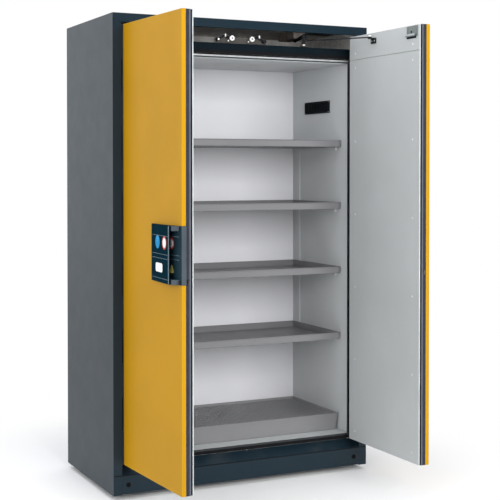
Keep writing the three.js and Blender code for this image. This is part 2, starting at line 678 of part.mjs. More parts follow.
// ---- handle and lock on the left door ------------------------------------
// Outward is -Y in the door's own frame, so heights above the skin are negative.
const EDGE_CLEARANCE = 0.4;
const HANDLE_END = DOOR_END + EDGE_CLEARANCE + 3.5;
const WALL = 19; // height of the housing's top and bottom walls
const BASE = { start: 314, out: 4 }; // the housing's back plate
const CREST = { start: 502, end: 508, foot: 527, out: 23 }; // highest part of the walls
const POCKET = { along: [530, 541], height: 16, depth: 2.5 };

function handleHousing() {
  const z = [HANDLE_BOTTOM, HANDLE_TOP];
  const base = box([BASE.start, HANDLE_END], [-BASE.out, -GAP], z);
  const wrapX = [DOOR_END + EDGE_CLEARANCE, HANDLE_END];
  const wrap = box(wrapX, [-BASE.out, SKIN_RETURN + EDGE_CLEARANCE], z);
  const wedge = [
    [HANDLE_START, -GAP],
    [HANDLE_START, -1],
    [HANDLE_START + 7, -1.9],
    [CREST.start, -CREST.out],
    [CREST.end, -CREST.out],
    [CREST.foot, -BASE.out - 0.5],
    [CREST.foot, -GAP - 0.5],
  ];
  const pivot = [FLAP_PIVOT.along, -FLAP_PIVOT.out];
  const ends = [[z[0], z[0] + WALL], [z[1] - WALL, z[1]]].flatMap((span) => [
    plate(wedge, ...span),
    rod('z', span, pivot, FLAP_PIVOT.barrel - 0.1),
  ]);
  const pivotBore = rod('z', [z[0] + 4, z[1] - 4], pivot, FLAP_PIVOT.axle + GAP, 16);
  const pocketZ = [z[1] - WALL, z[1] - WALL + POCKET.height];
  const pocket = box(POCKET.along, [-BASE.out - 1, -BASE.out + POCKET.depth], pocketZ);
  return join([base, wrap, ...ends])
    .subtract(pivotBore)
    .subtract(lockBore(-1))
    .subtract(pocket);
}

addMesh(leftDoor, 'handle_housing', handleHousing(), DARK_PLASTIC);

function handleFlap() {
  const pivot = [FLAP_PIVOT.along, -FLAP_PIVOT.out];
  const half = FLAP_THICKNESS / 2;
  const slope = (FLAP_END.out - FLAP_PIVOT.out) / (FLAP_END.along - FLAP_PIVOT.along);
  const outAt = (along) => FLAP_PIVOT.out + slope * (along - FLAP_PIVOT.along);
  const section = (start) => [
    [start, -outAt(start) + half],
    [start, -outAt(start) - half],
    [FLAP_END.along, -FLAP_END.out - half],
    [FLAP_END.along + 4, -FLAP_END.out + 1],
    [FLAP_END.along, -FLAP_END.out + half],
  ];
  const between = [HANDLE_BOTTOM + WALL + 1, HANDLE_TOP - WALL - 1];
  const neck = plate(section(pivot[0]), ...between);
  const barrel = rod('z', [between[0] + 0.2, between[1] - 0.2], pivot, FLAP_PIVOT.barrel);
  const face = plate(section(HANDLE_START + 7), HANDLE_BOTTOM, HANDLE_TOP);
  const axle = rod('z', [HANDLE_BOTTOM + 6, HANDLE_TOP - 6], pivot, FLAP_PIVOT.axle, 16);
  return join([neck, barrel, face, axle]);
}

addMesh(leftDoor, 'handle_flap', handleFlap(), DARK_PLASTIC);

function lockCylinder() {
  const barrel = rod('y', [LOCK.front, LOCK.rear], [LOCK.along, LOCK.z], LOCK.radius);
  const slotZ = [LOCK.z - 4, LOCK.z + 4];
  const keySlot = box([LOCK.along - 1, LOCK.along + 1], [LOCK.front - 1, LOCK.front + 4], slotZ);
  return barrel.subtract(keySlot);
}

addMesh(leftDoor, 'lock_cylinder', lockCylinder(), BLACK_STEEL);
const lockBolt = box([BOLT.start, BOLT.end], BOLT.inward, BOLT.z);
addMesh(leftDoor, 'lock_bolt', lockBolt, BLACK_STEEL);

export default cabinet;
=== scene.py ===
"""Looks of the flammable storage cabinet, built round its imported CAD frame."""

import json
import math

import bmesh
import bpy
from mathutils import Matrix, Vector


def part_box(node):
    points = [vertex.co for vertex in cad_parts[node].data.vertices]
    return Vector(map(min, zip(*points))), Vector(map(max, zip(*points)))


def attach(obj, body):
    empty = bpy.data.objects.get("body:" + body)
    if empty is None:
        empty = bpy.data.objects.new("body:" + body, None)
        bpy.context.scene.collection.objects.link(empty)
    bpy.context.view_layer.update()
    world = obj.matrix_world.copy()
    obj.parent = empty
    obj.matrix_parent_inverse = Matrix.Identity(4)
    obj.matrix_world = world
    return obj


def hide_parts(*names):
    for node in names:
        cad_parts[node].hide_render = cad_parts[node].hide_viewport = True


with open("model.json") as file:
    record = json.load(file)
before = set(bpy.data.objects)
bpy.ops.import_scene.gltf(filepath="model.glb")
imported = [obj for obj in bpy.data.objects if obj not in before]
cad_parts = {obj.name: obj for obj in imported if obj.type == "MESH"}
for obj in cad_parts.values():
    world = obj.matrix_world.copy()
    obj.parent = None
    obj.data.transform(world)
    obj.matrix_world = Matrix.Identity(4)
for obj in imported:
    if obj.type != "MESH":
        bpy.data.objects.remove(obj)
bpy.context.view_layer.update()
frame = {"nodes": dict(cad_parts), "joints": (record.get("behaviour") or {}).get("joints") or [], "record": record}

MM = 0.001
NODES = frame["nodes"]
JOINTS = {joint["name"]: joint for joint in frame["joints"]}


# ---- places taken from the frame ------------
def node_range(node, axis):
    low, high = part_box(node)
    return low[axis], high[axis]


X, Y, Z = 0, 1, 2
UP, DOWN, FORWARD = (0, 0, 1), (0, 0, -1), (0, -1, 0)
SIDES = (("left", -1), ("right", 1))
FRONT = node_range("plinth_panel", Y)[0]
SEAL_PLANE = node_range("header_plate", Y)[0]
FLOOR_Z = node_range("floor_board", Z)[1]
CEILING_Z = node_range("ceiling_board", Z)[0]
INNER_X = node_range("liner_right", X)[0]
SIDE_X = node_range("side_panel_right", X)[1]
BACK_Y = node_range("rear_panel", Y)[1]


class Door:
    """A door's own axes: along from the hinge to the free edge, inward, and up, in millimetres."""

    def __init__(self, name, side):
        joint = JOINTS[f"{name}_door_hinge"]
        turn = Matrix.Rotation(side * math.radians(-joint["range_deg"][0]), 4, "Z")
        mirror = Matrix.Diagonal((-side, 1, 1, 1))  # on the right door, along runs towards -x
        self.name = name
        self.body = f"{name}_door"
        self.hinge = Vector((joint["pos_m"][X], joint["pos_m"][Y], 0))
        self.inward = turn.to_3x3() @ Vector((0, 1, 0))
        self.matrix = Matrix.Translation(self.hinge) @ turn @ mirror @ Matrix.Scale(MM, 4)

    def point(self, along, inward, up):
        return self.matrix @ Vector((along, inward, up))

    def inner_places(self, points):
        """Places for turned pieces that face into the cabinet when the door is closed."""
        return [(self.point(*point), self.inward) for point in points]

    def extent(self, node, axis):
        """Lowest and highest coordinate of a node along one of the door's axes."""
        back = self.matrix.inverted()
        values = [(back @ vertex.co)[axis] for vertex in NODES[node].data.vertices]
        return min(values), max(values)


LEFT = Door("left", -1)
RIGHT = Door("right", 1)
ALONG, INWARD = 0, 1
DOOR_EDGE, DOOR_END = RIGHT.extent("right_door_skin", ALONG)
DOOR_BOTTOM, DOOR_TOP = RIGHT.extent("right_door_skin", Z)
DOOR_THICKNESS = RIGHT.extent("right_inner_panel", INWARD)[1]
HANDLE_BOTTOM, HANDLE_TOP = LEFT.extent("handle_housing", Z)
HANDLE_END = LEFT.extent("handle_housing", ALONG)[1]
BOLT_Z = LEFT.extent("lock_bolt", Z)
BOLT_INWARD = LEFT.extent("lock_bolt", INWARD)


# ---- mesh building ------------
# A matrix takes a shape from its own axes, in millimetres, to the row frame, in metres.
def finish_mesh(name, bm, body, slot, material, smooth=35):
    """Turns a bmesh drawn in the row frame into a piece that rides on a body."""
    bmesh.ops.remove_doubles(bm, verts=bm.verts, dist=1e-7)
    bmesh.ops.recalc_face_normals(bm, faces=bm.faces)
    mesh = bpy.data.meshes.new(name)
    bm.to_mesh(mesh)
    bm.free()
    mesh.polygons.foreach_set("use_smooth", [True] * len(mesh.polygons))
    mesh.set_sharp_from_angle(angle=math.radians(smooth))
    mesh.materials.append(material)
    piece = bpy.data.objects.new(name, mesh)
    bpy.context.scene.collection.objects.link(piece)
    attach(piece, body)
    return piece


def add_loft(bm, loops, matrix=None, closed=False):
    """Skins a list of equal point loops; the first and last are capped unless closed."""
    matrix = matrix or Matrix.Identity(4)
    rows = [[bm.verts.new(matrix @ Vector(point)) for point in loop] for loop in loops]
    count = len(loops[0])
    pairs = list(zip(rows, rows[1:] + rows[:1])) if closed else list(zip(rows, rows[1:]))
    for low, high in pairs:
        for i in range(count):
            j = (i + 1) % count
            bm.faces.new((low[i], low[j], high[j], high[i]))
    if not closed:
        bm.faces.new(rows[0][::-1])
        bm.faces.new(rows[-1])


def loft_piece(name, body, look, loops, matrix=None, closed=False, smooth=35):
    bm = bmesh.new()
    add_loft(bm, loops, matrix, closed)
    return finish_mesh(name, bm, body, *look, smooth)


def add_lathe(bm, profile, matrix, segments):
    """A turned solid about local z. The profile is (radius, height), first and last on the axis."""
    bottom = bm.verts.new(matrix @ Vector((0, 0, profile[0][1])))
    top = bm.verts.new(matrix @ Vector((0, 0, profile[-1][1])))
    rows = []
    for radius, height in profile[1:-1]:
        angles = [2 * math.pi * k / segments for k in range(segments)]
        ring = [Vector((radius * math.cos(a), radius * math.sin(a), height)) for a in angles]
        rows.append([bm.verts.new(matrix @ point) for point in ring])
    for i in range(segments):
        j = (i + 1) % segments
        bm.faces.new((bottom, rows[0][j], rows[0][i]))
        for low, high in zip(rows, rows[1:]):
            bm.faces.new((low[i], low[j], high[j], high[i]))
        bm.faces.new((top, rows[-1][i], rows[-1][j]))


def add_ring(bm, outline, matrix, segments):
    """A turned ring about local z, from a closed (radius, height) outline."""
    loops = []
    for k in range(segments):
        angle = 2 * math.pi * k / segments
        loops.append([(r * math.cos(angle), r * math.sin(angle), height) for r, height in outline])
    add_loft(bm, loops, matrix, closed=True)


def add_box(bm, low, high, matrix=None, round_by=0.4 * MM):
    """A box between two corners; its edges are rounded by a radius in metres."""
    matrix = matrix or Matrix.Identity(4)
    low, high = Vector(low), Vector(high)
    made = bmesh.ops.create_cube(bm, size=1)
    size = high - low
    scale = Matrix.Diagonal((size.x, size.y, size.z, 1))
    place = matrix @ Matrix.Translation((low + high) / 2) @ scale
    bmesh.ops.transform(bm, matrix=place, verts=made["verts"])
    edges = {edge for vert in made["verts"] for edge in vert.link_edges}
    if round_by:
        bmesh.ops.bevel(bm, geom=list(edges), offset=round_by, segments=2, profile=0.5, affect="EDGES")


def box_piece(name, body, look, low, high, matrix=None, round_by=0.4 * MM):
    bm = bmesh.new()
    add_box(bm, low, high, matrix, round_by)
    finish_mesh(name, bm, body, *look)


def rounded_rectangle(x0, x1, y0, y1, radius, z, steps=6):
    """Points round a rectangle with round corners of so many steps, at height z."""
    corners = [(x1, y1, 0), (x0, y1, 90), (x0, y0, 180), (x1, y0, 270)]
    points = []
    for x, y, start in corners:
        cx = x - math.copysign(radius, x - (x0 + x1) / 2)
        cy = y - math.copysign(radius, y - (y0 + y1) / 2)
        for k in range(steps + 1):
            angle = math.radians(start + 90 * k / steps)
            points.append((cx + radius * math.cos(angle), cy + radius * math.sin(angle), z))
    return points


def facing(point, direction):
    """A matrix that stands local z along a direction at a point of the row frame."""
    rotation = Vector(direction).to_track_quat("Z", "Y").to_matrix().to_4x4()
    return Matrix.Translation(Vector(point)) @ rotation @ Matrix.Scale(MM, 4)


# ---- materials ------------
class Nodes:
    """Adds and links the nodes of one node tree."""

    def __init__(self, tree):
        self.tree = tree

    def node(self, kind, values=None, **settings):
        made = self.tree.nodes.new(kind)
        for key, value in settings.items():
            setattr(made, key, value)
        for key, value in (values or {}).items():
            self.feed(made.inputs[key], value)
        return made

    def feed(self, socket, value):
        if isinstance(value, bpy.types.NodeSocket):
            self.tree.links.new(value, socket)
        else:
            socket.default_value = value


class Shader(Nodes):
    """The nodes of one material, with the textures that the materials share."""

    def __init__(self, name):
        self.material = bpy.data.materials.new(name)
        self.material.use_nodes = True
        super().__init__(self.material.node_tree)
        self.tree.nodes.clear()
        self.output = self.node("ShaderNodeOutputMaterial")
        self.bsdf = self.node("ShaderNodeBsdfPrincipled")
        self.feed(self.output.inputs["Surface"], self.bsdf.outputs[0])
        self.place = self.node("ShaderNodeTexCoord").outputs["Object"]

    def noise(self, scale, detail=4.0, roughness=0.55, stretch=None, seed=0.0):
        where = self.place
        if stretch:
            values = {"Vector": where, "Scale": stretch}
            where = self.node("ShaderNodeMapping", values).outputs["Vector"]
        values = {"Vector": where, "W": seed, "Scale": scale, "Detail": detail, "Roughness": roughness}
        return self.node("ShaderNodeTexNoise", values, noise_dimensions="4D").outputs["Fac"]

    def remap(self, value, low, high, to_low=0.0, to_high=1.0):
        values = {"Value": value, "From Min": low, "From Max": high, "To Min": to_low, "To Max": to_high}
        return self.node("ShaderNodeMapRange", values, interpolation_type="SMOOTHSTEP").outputs["Result"]

    def math(self, operation, a, b=0.0):
        made = self.node("ShaderNodeMath", operation=operation)
        self.feed(made.inputs[0], a)
        self.feed(made.inputs[1], b)
        return made.outputs[0]

    def mix(self, factor, a, b):
        made = self.node("ShaderNodeMix", data_type="RGBA")
        self.feed(made.inputs["Factor"], factor)
        for socket, value in (("A", a), ("B", b)):
            inputs = [s for s in made.inputs if s.name == socket and s.type == "RGBA"]
            self.feed(inputs[0], value if isinstance(value, bpy.types.NodeSocket) else (*value, 1.0))
        return [s for s in made.outputs if s.type == "RGBA"][0]

    def edges(self, radius):
        """1 on convex edges and 0 on flat faces."""
        rounded = self.node("ShaderNodeBevel", {"Radius": radius}, samples=4).outputs[0]
        flat = self.node("ShaderNodeNewGeometry").outputs["Normal"]
        values = {0: rounded, 1: flat}
        dot = self.node("ShaderNodeVectorMath", values, operation="DOT_PRODUCT").outputs["Value"]
        return self.remap(dot, 0.995, 0.86)

    def height(self, *layers):
        """Stacks (height, distance in metres) layers into one bump normal."""
        normal = None
        for value, distance in layers:
            values = {"Height": value, "Distance": distance, "Strength": 1.0}
            if normal is not None:
                values["Normal"] = normal
            normal = self.node("ShaderNodeBump", values).outputs["Normal"]
        self.feed(self.bsdf.inputs["Normal"], normal)

    def set(self, **values):
        names = {"color": "Base Color", "roughness": "Roughness", "metallic": "Metallic",
                 "specular": "Specular IOR Level"}
        for key, value in values.items():
            if key == "color" and not isinstance(value, bpy.types.NodeSocket):
                value = (*value, 1.0)
            self.feed(self.bsdf.inputs[names[key]], value)


def tint(colour, factor):
    return tuple(min(1.0, channel * factor) for channel in colour)


DUST_RGB = (0.42, 0.40, 0.36)


def powder_coat(name, colour, roughness, peel, waves, wear, dust, specular, sparkle=0.35, painted_edge_highlight=None):
    """Sprayed powder paint on sheet steel: orange peel, slow sheet waves, worn edges, settled dust.

    Peel and waves are depths in millimetres. Wear is the colour of rubbed edges, and
    painted_edge_highlight that of a painted highlight on convex edges, where they would catch the light.
    """
    s = Shader(name)
    cloud = s.noise(2.2, 3.0)
    shade = s.mix(s.remap(cloud, 0.35, 0.65), tint(colour, 0.96), tint(colour, 1.04))
    speck = s.noise(900.0, 2.0, seed=3.0)
    shade = s.mix(s.remap(speck, 0.60, 0.72, 0.0, sparkle), shade, tint(colour, 1.6))
    up = s.node("ShaderNodeSeparateXYZ", {0: s.node("ShaderNodeNewGeometry").outputs["Normal"]})
    on_top = s.remap(up.outputs["Z"], 0.5, 1.0)
    dirt = s.math("MULTIPLY", s.remap(s.noise(9.0, 6.0, seed=5.0), 0.42, 0.7), dust)
    dirt = s.math("MULTIPLY", dirt, s.math("ADD", s.math("MULTIPLY", on_top, 0.92), 0.08))
    shade = s.mix(dirt, shade, DUST_RGB)
    # Painted highlight: convex edges are lightened towards painted_edge_highlight.
    if painted_edge_highlight:
        shade = s.mix(s.math("MULTIPLY", s.edges(2.6 * MM), 0.8), shade, painted_edge_highlight)
    broken = s.remap(s.noise(60.0, 5.0, seed=9.0), 0.56, 0.68)
    rubbed = s.math("MULTIPLY", s.edges(1.4 * MM), broken)
    shade = s.mix(s.math("MULTIPLY", rubbed, 0.7), shade, wear)
    smear = s.noise(14.0, 5.0, seed=2.0)
    rough = s.remap(smear, 0.3, 0.75, roughness - 0.015, roughness + 0.025)
    rough = s.math("ADD", rough, s.math("MULTIPLY", dirt, 0.35))
    s.set(color=shade, roughness=rough, specular=specular)
    s.height((s.noise(1.7, 1.0, seed=4.0), waves * MM), (s.noise(430.0, 2.0), peel * MM))
    return s.material


def faced_board(name, colour):
    """Hard melamine-faced board: pearl texture and faint handling marks."""
    s = Shader(name)
    cloud = s.noise(1.8, 3.0)
    shade = s.mix(s.remap(cloud, 0.35, 0.65), tint(colour, 0.96), tint(colour, 1.03))
    fleck = s.noise(1400.0, 2.0, seed=1.0)
    shade = s.mix(s.remap(fleck, 0.5, 0.75, 0.0, 0.3), shade, tint(colour, 0.82))
    streaks = s.noise(7.0, 8.0, 0.65, stretch=(6.0, 6.0, 0.6), seed=6.0)
    marks = s.remap(streaks, 0.62, 0.78, 0.0, 0.28)
    shade = s.mix(marks, shade, tint(colour, 0.72))
    rough = s.remap(s.noise(11.0, 5.0, seed=2.0), 0.3, 0.7, 0.43, 0.60)
    s.set(color=shade, roughness=rough, specular=0.45)
    s.height((s.noise(1.2, 1.0, seed=8.0), 1.2 * MM), (s.noise(1500.0, 3.0), 0.05 * MM))
    return s.material


def mineral_board(name, colour):
    s = Shader(name)
    grain = s.noise(220.0, 8.0, 0.7)
    shade = s.mix(s.remap(grain, 0.3, 0.7), tint(colour, 0.7), tint(colour, 1.2))
    fibres = s.noise(60.0, 6.0, stretch=(1.0, 1.0, 9.0), seed=4.0)
    shade = s.mix(s.remap(fibres, 0.55, 0.75, 0.0, 0.5), shade, tint(colour, 1.5))
    s.set(color=shade, roughness=0.92, specular=0.2)
    s.height((grain, 0.5 * MM), (s.noise(900.0, 2.0), 0.15 * MM))
    return s.material


def rubber(name, colour, ribs=260.0):
    """Extruded or foamed strip: fine lengthwise ribs and a dusty bloom."""
    s = Shader(name)
    bloom = s.noise(30.0, 6.0)
    shade = s.mix(s.remap(bloom, 0.45, 0.8, 0.0, 0.5), tint(colour, 0.9), tint(colour, 1.7))
    s.set(color=shade, roughness=s.remap(bloom, 0.3, 0.7, 0.62, 0.85), specular=0.12)
    s.height((s.noise(ribs, 2.0, stretch=(0.05, 0.05, 1.0)), 0.12 * MM), (s.noise(1200.0, 3.0), 0.06 * MM))
    return s.material


def plated_steel(name, colour=(0.42, 0.41, 0.39), roughness=0.42, spangle=120.0, metallic=0.85):
    """Zinc-plated sheet: crystalline spangle, rolling lines, dull patches."""
    s = Shader(name)
    values = {"Vector": s.place, "Scale": spangle, "Randomness": 1.0}
    cells = s.node("ShaderNodeTexVoronoi", values).outputs["Color"]
    grey = s.node("ShaderNodeSeparateColor", {0: cells}).outputs[0]
    shade = s.mix(s.remap(grey, 0.0, 1.0, 0.0, 1.0), tint(colour, 0.86), tint(colour, 1.08))
    stain = s.remap(s.noise(18.0, 6.0, seed=3.0), 0.5, 0.75, 0.0, 0.35)
    shade = s.mix(stain, shade, tint(colour, 0.6))
    crystal = s.remap(grey, 0.0, 1.0, roughness - 0.04, roughness + 0.06)
    rough = s.math("ADD", crystal, s.math("MULTIPLY", stain, 0.2))
    s.set(color=shade, roughness=rough, metallic=metallic)
    s.height((s.noise(700.0, 3.0, stretch=(0.08, 1.0, 1.0)), 0.03 * MM))
    return s.material


def dark_metal(name, colour=(0.010, 0.011, 0.013), roughness=0.5):
    s = Shader(name)
    worn = s.math("MULTIPLY", s.edges(1.2 * MM), s.remap(s.noise(90.0, 5.0), 0.48, 0.62))
    base = s.mix(s.remap(s.noise(40.0, 5.0, seed=2.0), 0.3, 0.7), tint(colour, 0.75), tint(colour, 1.5))
    s.set(color=s.mix(worn, base, (0.035, 0.035, 0.035)), metallic=0.0, specular=0.16,
          roughness=s.remap(s.noise(25.0, 5.0, seed=5.0), 0.3, 0.7, roughness - 0.08, roughness + 0.14))
    s.height((s.noise(600.0, 3.0), 0.05 * MM))
    return s.material


def moulded_plastic(name, colour, roughness=0.5, grain=0.06, shine=0.45):
    """Moulded plastic with a spark-eroded grain, and a painted highlight on its convex edges."""
    s = Shader(name)
    cells = s.node("ShaderNodeTexVoronoi", {"Vector": s.place, "Scale": 1300.0}).outputs["Distance"]
    shade = s.mix(s.remap(s.noise(12.0, 4.0), 0.35, 0.65), tint(colour, 0.9), tint(colour, 1.1))
    # Painted highlight: convex edges lightened, as if they caught the light.
    shade = s.mix(s.math("MULTIPLY", s.edges(1.0 * MM), 0.45), shade, tint(colour, 1.9))
    s.set(color=shade, specular=shine,
          roughness=s.remap(s.noise(30.0, 5.0, seed=2.0), 0.3, 0.7, roughness - 0.06, roughness + 0.08))
    s.height((cells, grain * MM), (s.noise(9.0, 1.0, seed=3.0), 0.25 * MM))
    return s.material


ANTHRACITE_RGB = (0.0042, 0.0138, 0.0220)
YELLOW_RGB = (0.410, 0.212, 0.005)
PANEL_RGB = (0.61, 0.63, 0.635)
# The door panels and the floor board are the same light grey board as the walls, darker here: painted shade.
DOOR_BOARD_SHADE_RGB = (0.45, 0.468, 0.470)
# The rear liner is the same board, lighter here: painted light against the shade deep in the cabinet.
REAR_BOARD_LIGHT_RGB = (0.66, 0.66, 0.685)
SHELF_RGB = (0.163, 0.163, 0.169)
SUMP_RGB = (0.203, 0.202, 0.209)
SLATE_RGB = (0.032, 0.033, 0.043)

anthracite = powder_coat("anthracite_coat", ANTHRACITE_RGB, 0.46, 0.10, waves=0.48, wear=(0.06, 0.08, 0.09),
                         dust=0.04, specular=0.34)
# Darker copy of the anthracite coat for the header plate: painted shade for the shade under the header.
anthracite_painted_shade = powder_coat("shaded_anthracite_coat", tint(ANTHRACITE_RGB, 0.4), 0.55, 0.10, waves=0.48,
                                wear=(0.04, 0.05, 0.06), dust=0.04, specular=0.15)
# The yellow coat's lighter edge colour is a painted highlight on its convex edges.
yellow = powder_coat("yellow_coat", YELLOW_RGB, 0.40, 0.07, waves=0.48, wear=(0.45, 0.25, 0.03), dust=0.06,
                     specular=0.06, sparkle=0.1, painted_edge_highlight=(0.52, 0.36, 0.04))
panel_grey = faced_board("grey_faced_board", PANEL_RGB)
# Darker copy of the grey board for door panels and floor board: painted shade.
door_board_painted_shade = faced_board("door_faced_board", DOOR_BOARD_SHADE_RGB)
# Lighter copy of the grey board for the rear liner: painted light.
rear_board_painted_light = faced_board("rear_faced_board", REAR_BOARD_LIGHT_RGB)
shelf_grey = powder_coat("shelf_coat", SHELF_RGB, 0.42, 0.05, waves=0.80, wear=(0.08, 0.08, 0.08), dust=0.12,
                         specular=0.35)
sump_grey = powder_coat("sump_coat", SUMP_RGB, 0.42, 0.05, waves=0.80, wear=(0.10, 0.10, 0.10), dust=0.12,
                        specular=0.35)
board = mineral_board("mineral_board", (0.30, 0.28, 0.25))
black_seal = rubber("black_seal", (0.007, 0.007, 0.008))
grey_seal = rubber("grey_seal", (0.034, 0.037, 0.039))
gasket_grey = rubber("gasket_grey", (0.050, 0.056, 0.058))
swelling_strip = rubber("swelling_strip", SLATE_RGB, 90.0)
zinc = plated_steel("zinc_plate")
striker_zinc = plated_steel("striker_zinc", (0.20, 0.23, 0.22), 0.45, 90.0, metallic=0.5)
dull_zinc = plated_steel("dull_zinc", (0.085, 0.078, 0.072), 0.6, 80.0, metallic=0.2)
lining_zinc = plated_steel("cavity_zinc", (0.90, 0.87, 0.84), 0.6, 60.0, metallic=0.0)
bright_zinc = plated_steel("bright_zinc", (0.60, 0.60, 0.59), 0.35, 300.0)
aluminium = plated_steel("aluminium_strip", (0.44, 0.45, 0.455), 0.5, 40.0, metallic=0.1)
black_metal = dark_metal("black_metal")
cast_brown = dark_metal("closer_casting", (0.26, 0.225, 0.205), 0.65)
white_plastic = moulded_plastic("white_nylon", (0.86, 0.86, 0.84), 0.38, 0.02)
grey_screw = moulded_plastic("grey_screw_cap", (0.62, 0.63, 0.64), 0.32, 0.02)
# Light grey for the flap's free edge: painted highlight.
edge_grey = moulded_plastic("edge_grey", (0.26, 0.29, 0.31), 0.45, 0.02)
edge_white = moulded_plastic("edge_white", (0.42, 0.45, 0.46), 0.42, 0.02, shine=0.1)
grey_plastic = moulded_plastic("grey_plastic", (0.092, 0.100, 0.118), 0.50, 0.05, shine=0.2)
# Lighter copy of the handle's dark plastic: painted light on its free edge and end-wall crests.
handle_grey = moulded_plastic("handle_grey", (0.050, 0.062, 0.074), 0.52, 0.06, shine=0.15)
line_grey = moulded_plastic("line_grey", (0.16, 0.19, 0.21), 0.50, 0.02, shine=0.1)
dark_plastic = moulded_plastic("dark_plastic", (0.0085, 0.0240, 0.0340), 0.50, 0.07, shine=0.07)
grille_black = moulded_plastic("grille_black", (0.0045, 0.0065, 0.0080), 0.55, 0.05, shine=0.05)
# Darker copy of the dark plastic for the grip flap: painted shade, to keep the flap as dark as a shaded face.
flap_plastic = moulded_plastic("flap_plastic", (0.0040, 0.0190, 0.0290), 0.55, 0.07, shine=0.0)
sign_blue = moulded_plastic("sign_blue", (0.006, 0.22, 0.46), 0.45, 0.01, shine=0.1)
sign_red = moulded_plastic("sign_red", (0.46, 0.060, 0.052), 0.45, 0.01, shine=0.1)
sign_white = moulded_plastic("sign_white", (0.78, 0.78, 0.77), 0.45, 0.01, shine=0.1)
sign_yellow = moulded_plastic("sign_yellow", (0.74, 0.66, 0.16), 0.45, 0.01, shine=0.1)

# The looks that most pieces share: a material slot of the record, and the material.
SEAL = ("black_rubber", black_seal)
SWELLING = ("black_rubber", swelling_strip)
BLACK = ("black_steel", black_metal)
BRIGHT = ("zinc_steel", bright_zinc)
WHITE = ("white_plastic", white_plastic)

LOOK = {
    "anthracite_paint": anthracite,
    "yellow_paint": yellow,
    "light_grey_panel": panel_grey,
    "shelf_paint": shelf_grey,
    "fire_board": board,
    "black_rubber": black_seal,
    "zinc_steel": zinc,
    "black_steel": black_metal,
    "white_plastic": white_plastic,
    "dark_plastic": dark_plastic,
}
OWN_LOOK = {
    "floor_board": door_board_painted_shade,
    "liner_rear": rear_board_painted_light,
    "handle_flap": flap_plastic,
    # The header plate takes the darker anthracite copy: painted shade.
    "header_plate": anthracite_painted_shade,
    "vent_grille": grille_black,
    "catch_bracket": dull_zinc,
}
for side in ("left", "right"):
    OWN_LOOK[f"{side}_inner_panel"] = door_board_painted_shade
    OWN_LOOK[f"{side}_inner_top_strip"] = door_board_painted_shade
    OWN_LOOK[f"shelf_rack_{side}"] = panel_grey
    OWN_LOOK[f"{side}_closer_body"] = cast_brown
    OWN_LOOK[f"{side}_striker_plate"] = striker_zinc


# ---- the CAD nodes that stay ------------
def dress_cad_nodes():
    """Gives every CAD node its material and softly rounded edges."""
    slots = {entry["node"]: entry["material_slot"] for entry in frame["record"]["subparts"]}
    broad = {"side_panel_left", "side_panel_right", "roof_panel", "left_door_skin", "right_door_skin"}
    left_out = ("custom_normal", "sharp_edge", "sharp_face")
    for name, node in NODES.items():
        mesh = node.data
        mesh.materials.clear()
        mesh.materials.append(OWN_LOOK.get(name, LOOK[slots[name]]))
        for attribute in left_out:
            if attribute in mesh.attributes:
                mesh.attributes.remove(mesh.attributes[attribute])
        mesh.polygons.foreach_set("use_smooth", [True] * len(mesh.polygons))
        weld = node.modifiers.new("weld", "WELD")
        weld.merge_threshold = 0.005 * MM
        bevel = node.modifiers.new("edges", "BEVEL")
        bevel.width = (0.9 if name in broad else 0.45) * MM
        bevel.segments = 3
        bevel.limit_method = "ANGLE"
        bevel.angle_limit = math.radians(35)
        bevel.use_clamp_overlap = True
        bevel.harden_normals = True


dress_cad_nodes()


# ---- door edges ------------
NOTCH = (BOLT_Z[0] - 2, BOLT_Z[1] + 2)  # heights between which the edge strips stop at the bolt
OUTER_STRIP = (16.4, 22.6)  # depths of the two swelling strips from the door's outer face
INNER_STRIP = (23.2, 30.6)
STRIP_FOOT = 2.2  # how deep the strips start behind the door's edge


def edge_ring(door, part, depths, inset, foot, look, notched=False):
    """A strip round all four edges of a door, between two depths; notched where the bolt passes."""
    n0, n1 = depths
    chamfer = 0.3
    profile = [(n0, foot), (n0, inset + chamfer), (n0 + chamfer, inset),
               (n1 - chamfer, inset), (n1, inset + chamfer), (n1, foot)]

    def corner(at_end, at_top):
        return [(DOOR_END - back if at_end else DOOR_EDGE + back, n,
                 DOOR_TOP - back if at_top else DOOR_BOTTOM + back) for n, back in profile]

    rows = [corner(True, True), corner(False, True), corner(False, False), corner(True, False)]
    if notched:
        below, above = ([(DOOR_END - back, n, up) for n, back in profile] for up in NOTCH)
        rows = [above, *rows, below]
    loft_piece(f"{door.name}_{part}", door.body, look, rows, door.matrix, closed=not notched)


def rectangle(x0, x1, y0, y1):
    return [(x0, y0), (x1, y0), (x1, y1), (x0, y1)]


def bolt_guide(door):
    """Black plate with a window for the lock bolt, set in the notch of the edge strips."""
    play, gap = 0.5, 0.2
    (n0, n1), (z0, z1) = BOLT_INWARD, BOLT_Z
    window = rectangle(n0 - play, n1 + play, z0 - play, z1 + play)
    outer = rectangle(OUTER_STRIP[0] + gap, INNER_STRIP[1] - gap, NOTCH[0] + gap, NOTCH[1] - gap)
    deep, proud = DOOR_END - 2.1, DOOR_END - 0.8
    rows = [[(along, n, z) for n, z in ring]
            for along, ring in ((deep, outer), (proud, outer), (proud, window), (deep, window))]
    loft_piece(f"{door.name}_bolt_guide", door.body, BLACK, rows, door.matrix, closed=True)


def door_edges(door):
    edge_ring(door, "swelling_strip_outer", OUTER_STRIP, 0.5, STRIP_FOOT, SWELLING, notched=True)
    edge_ring(door, "swelling_strip_inner", INNER_STRIP, 0.7, STRIP_FOOT, SWELLING, notched=True)
    edge_ring(door, "edge_band", (31.0, 36.0), 0.5, STRIP_FOOT, ("light_grey_panel", grey_plastic))
    edge_ring(door, "panel_gasket", (36.4, 43.0), 1.6, 2.8, SEAL)
    bolt_guide(door)
    edge_ring(door, "panel_edge_trim", (44.0, 47.6), 1.6, 2.9, ("light_grey_panel", edge_white))


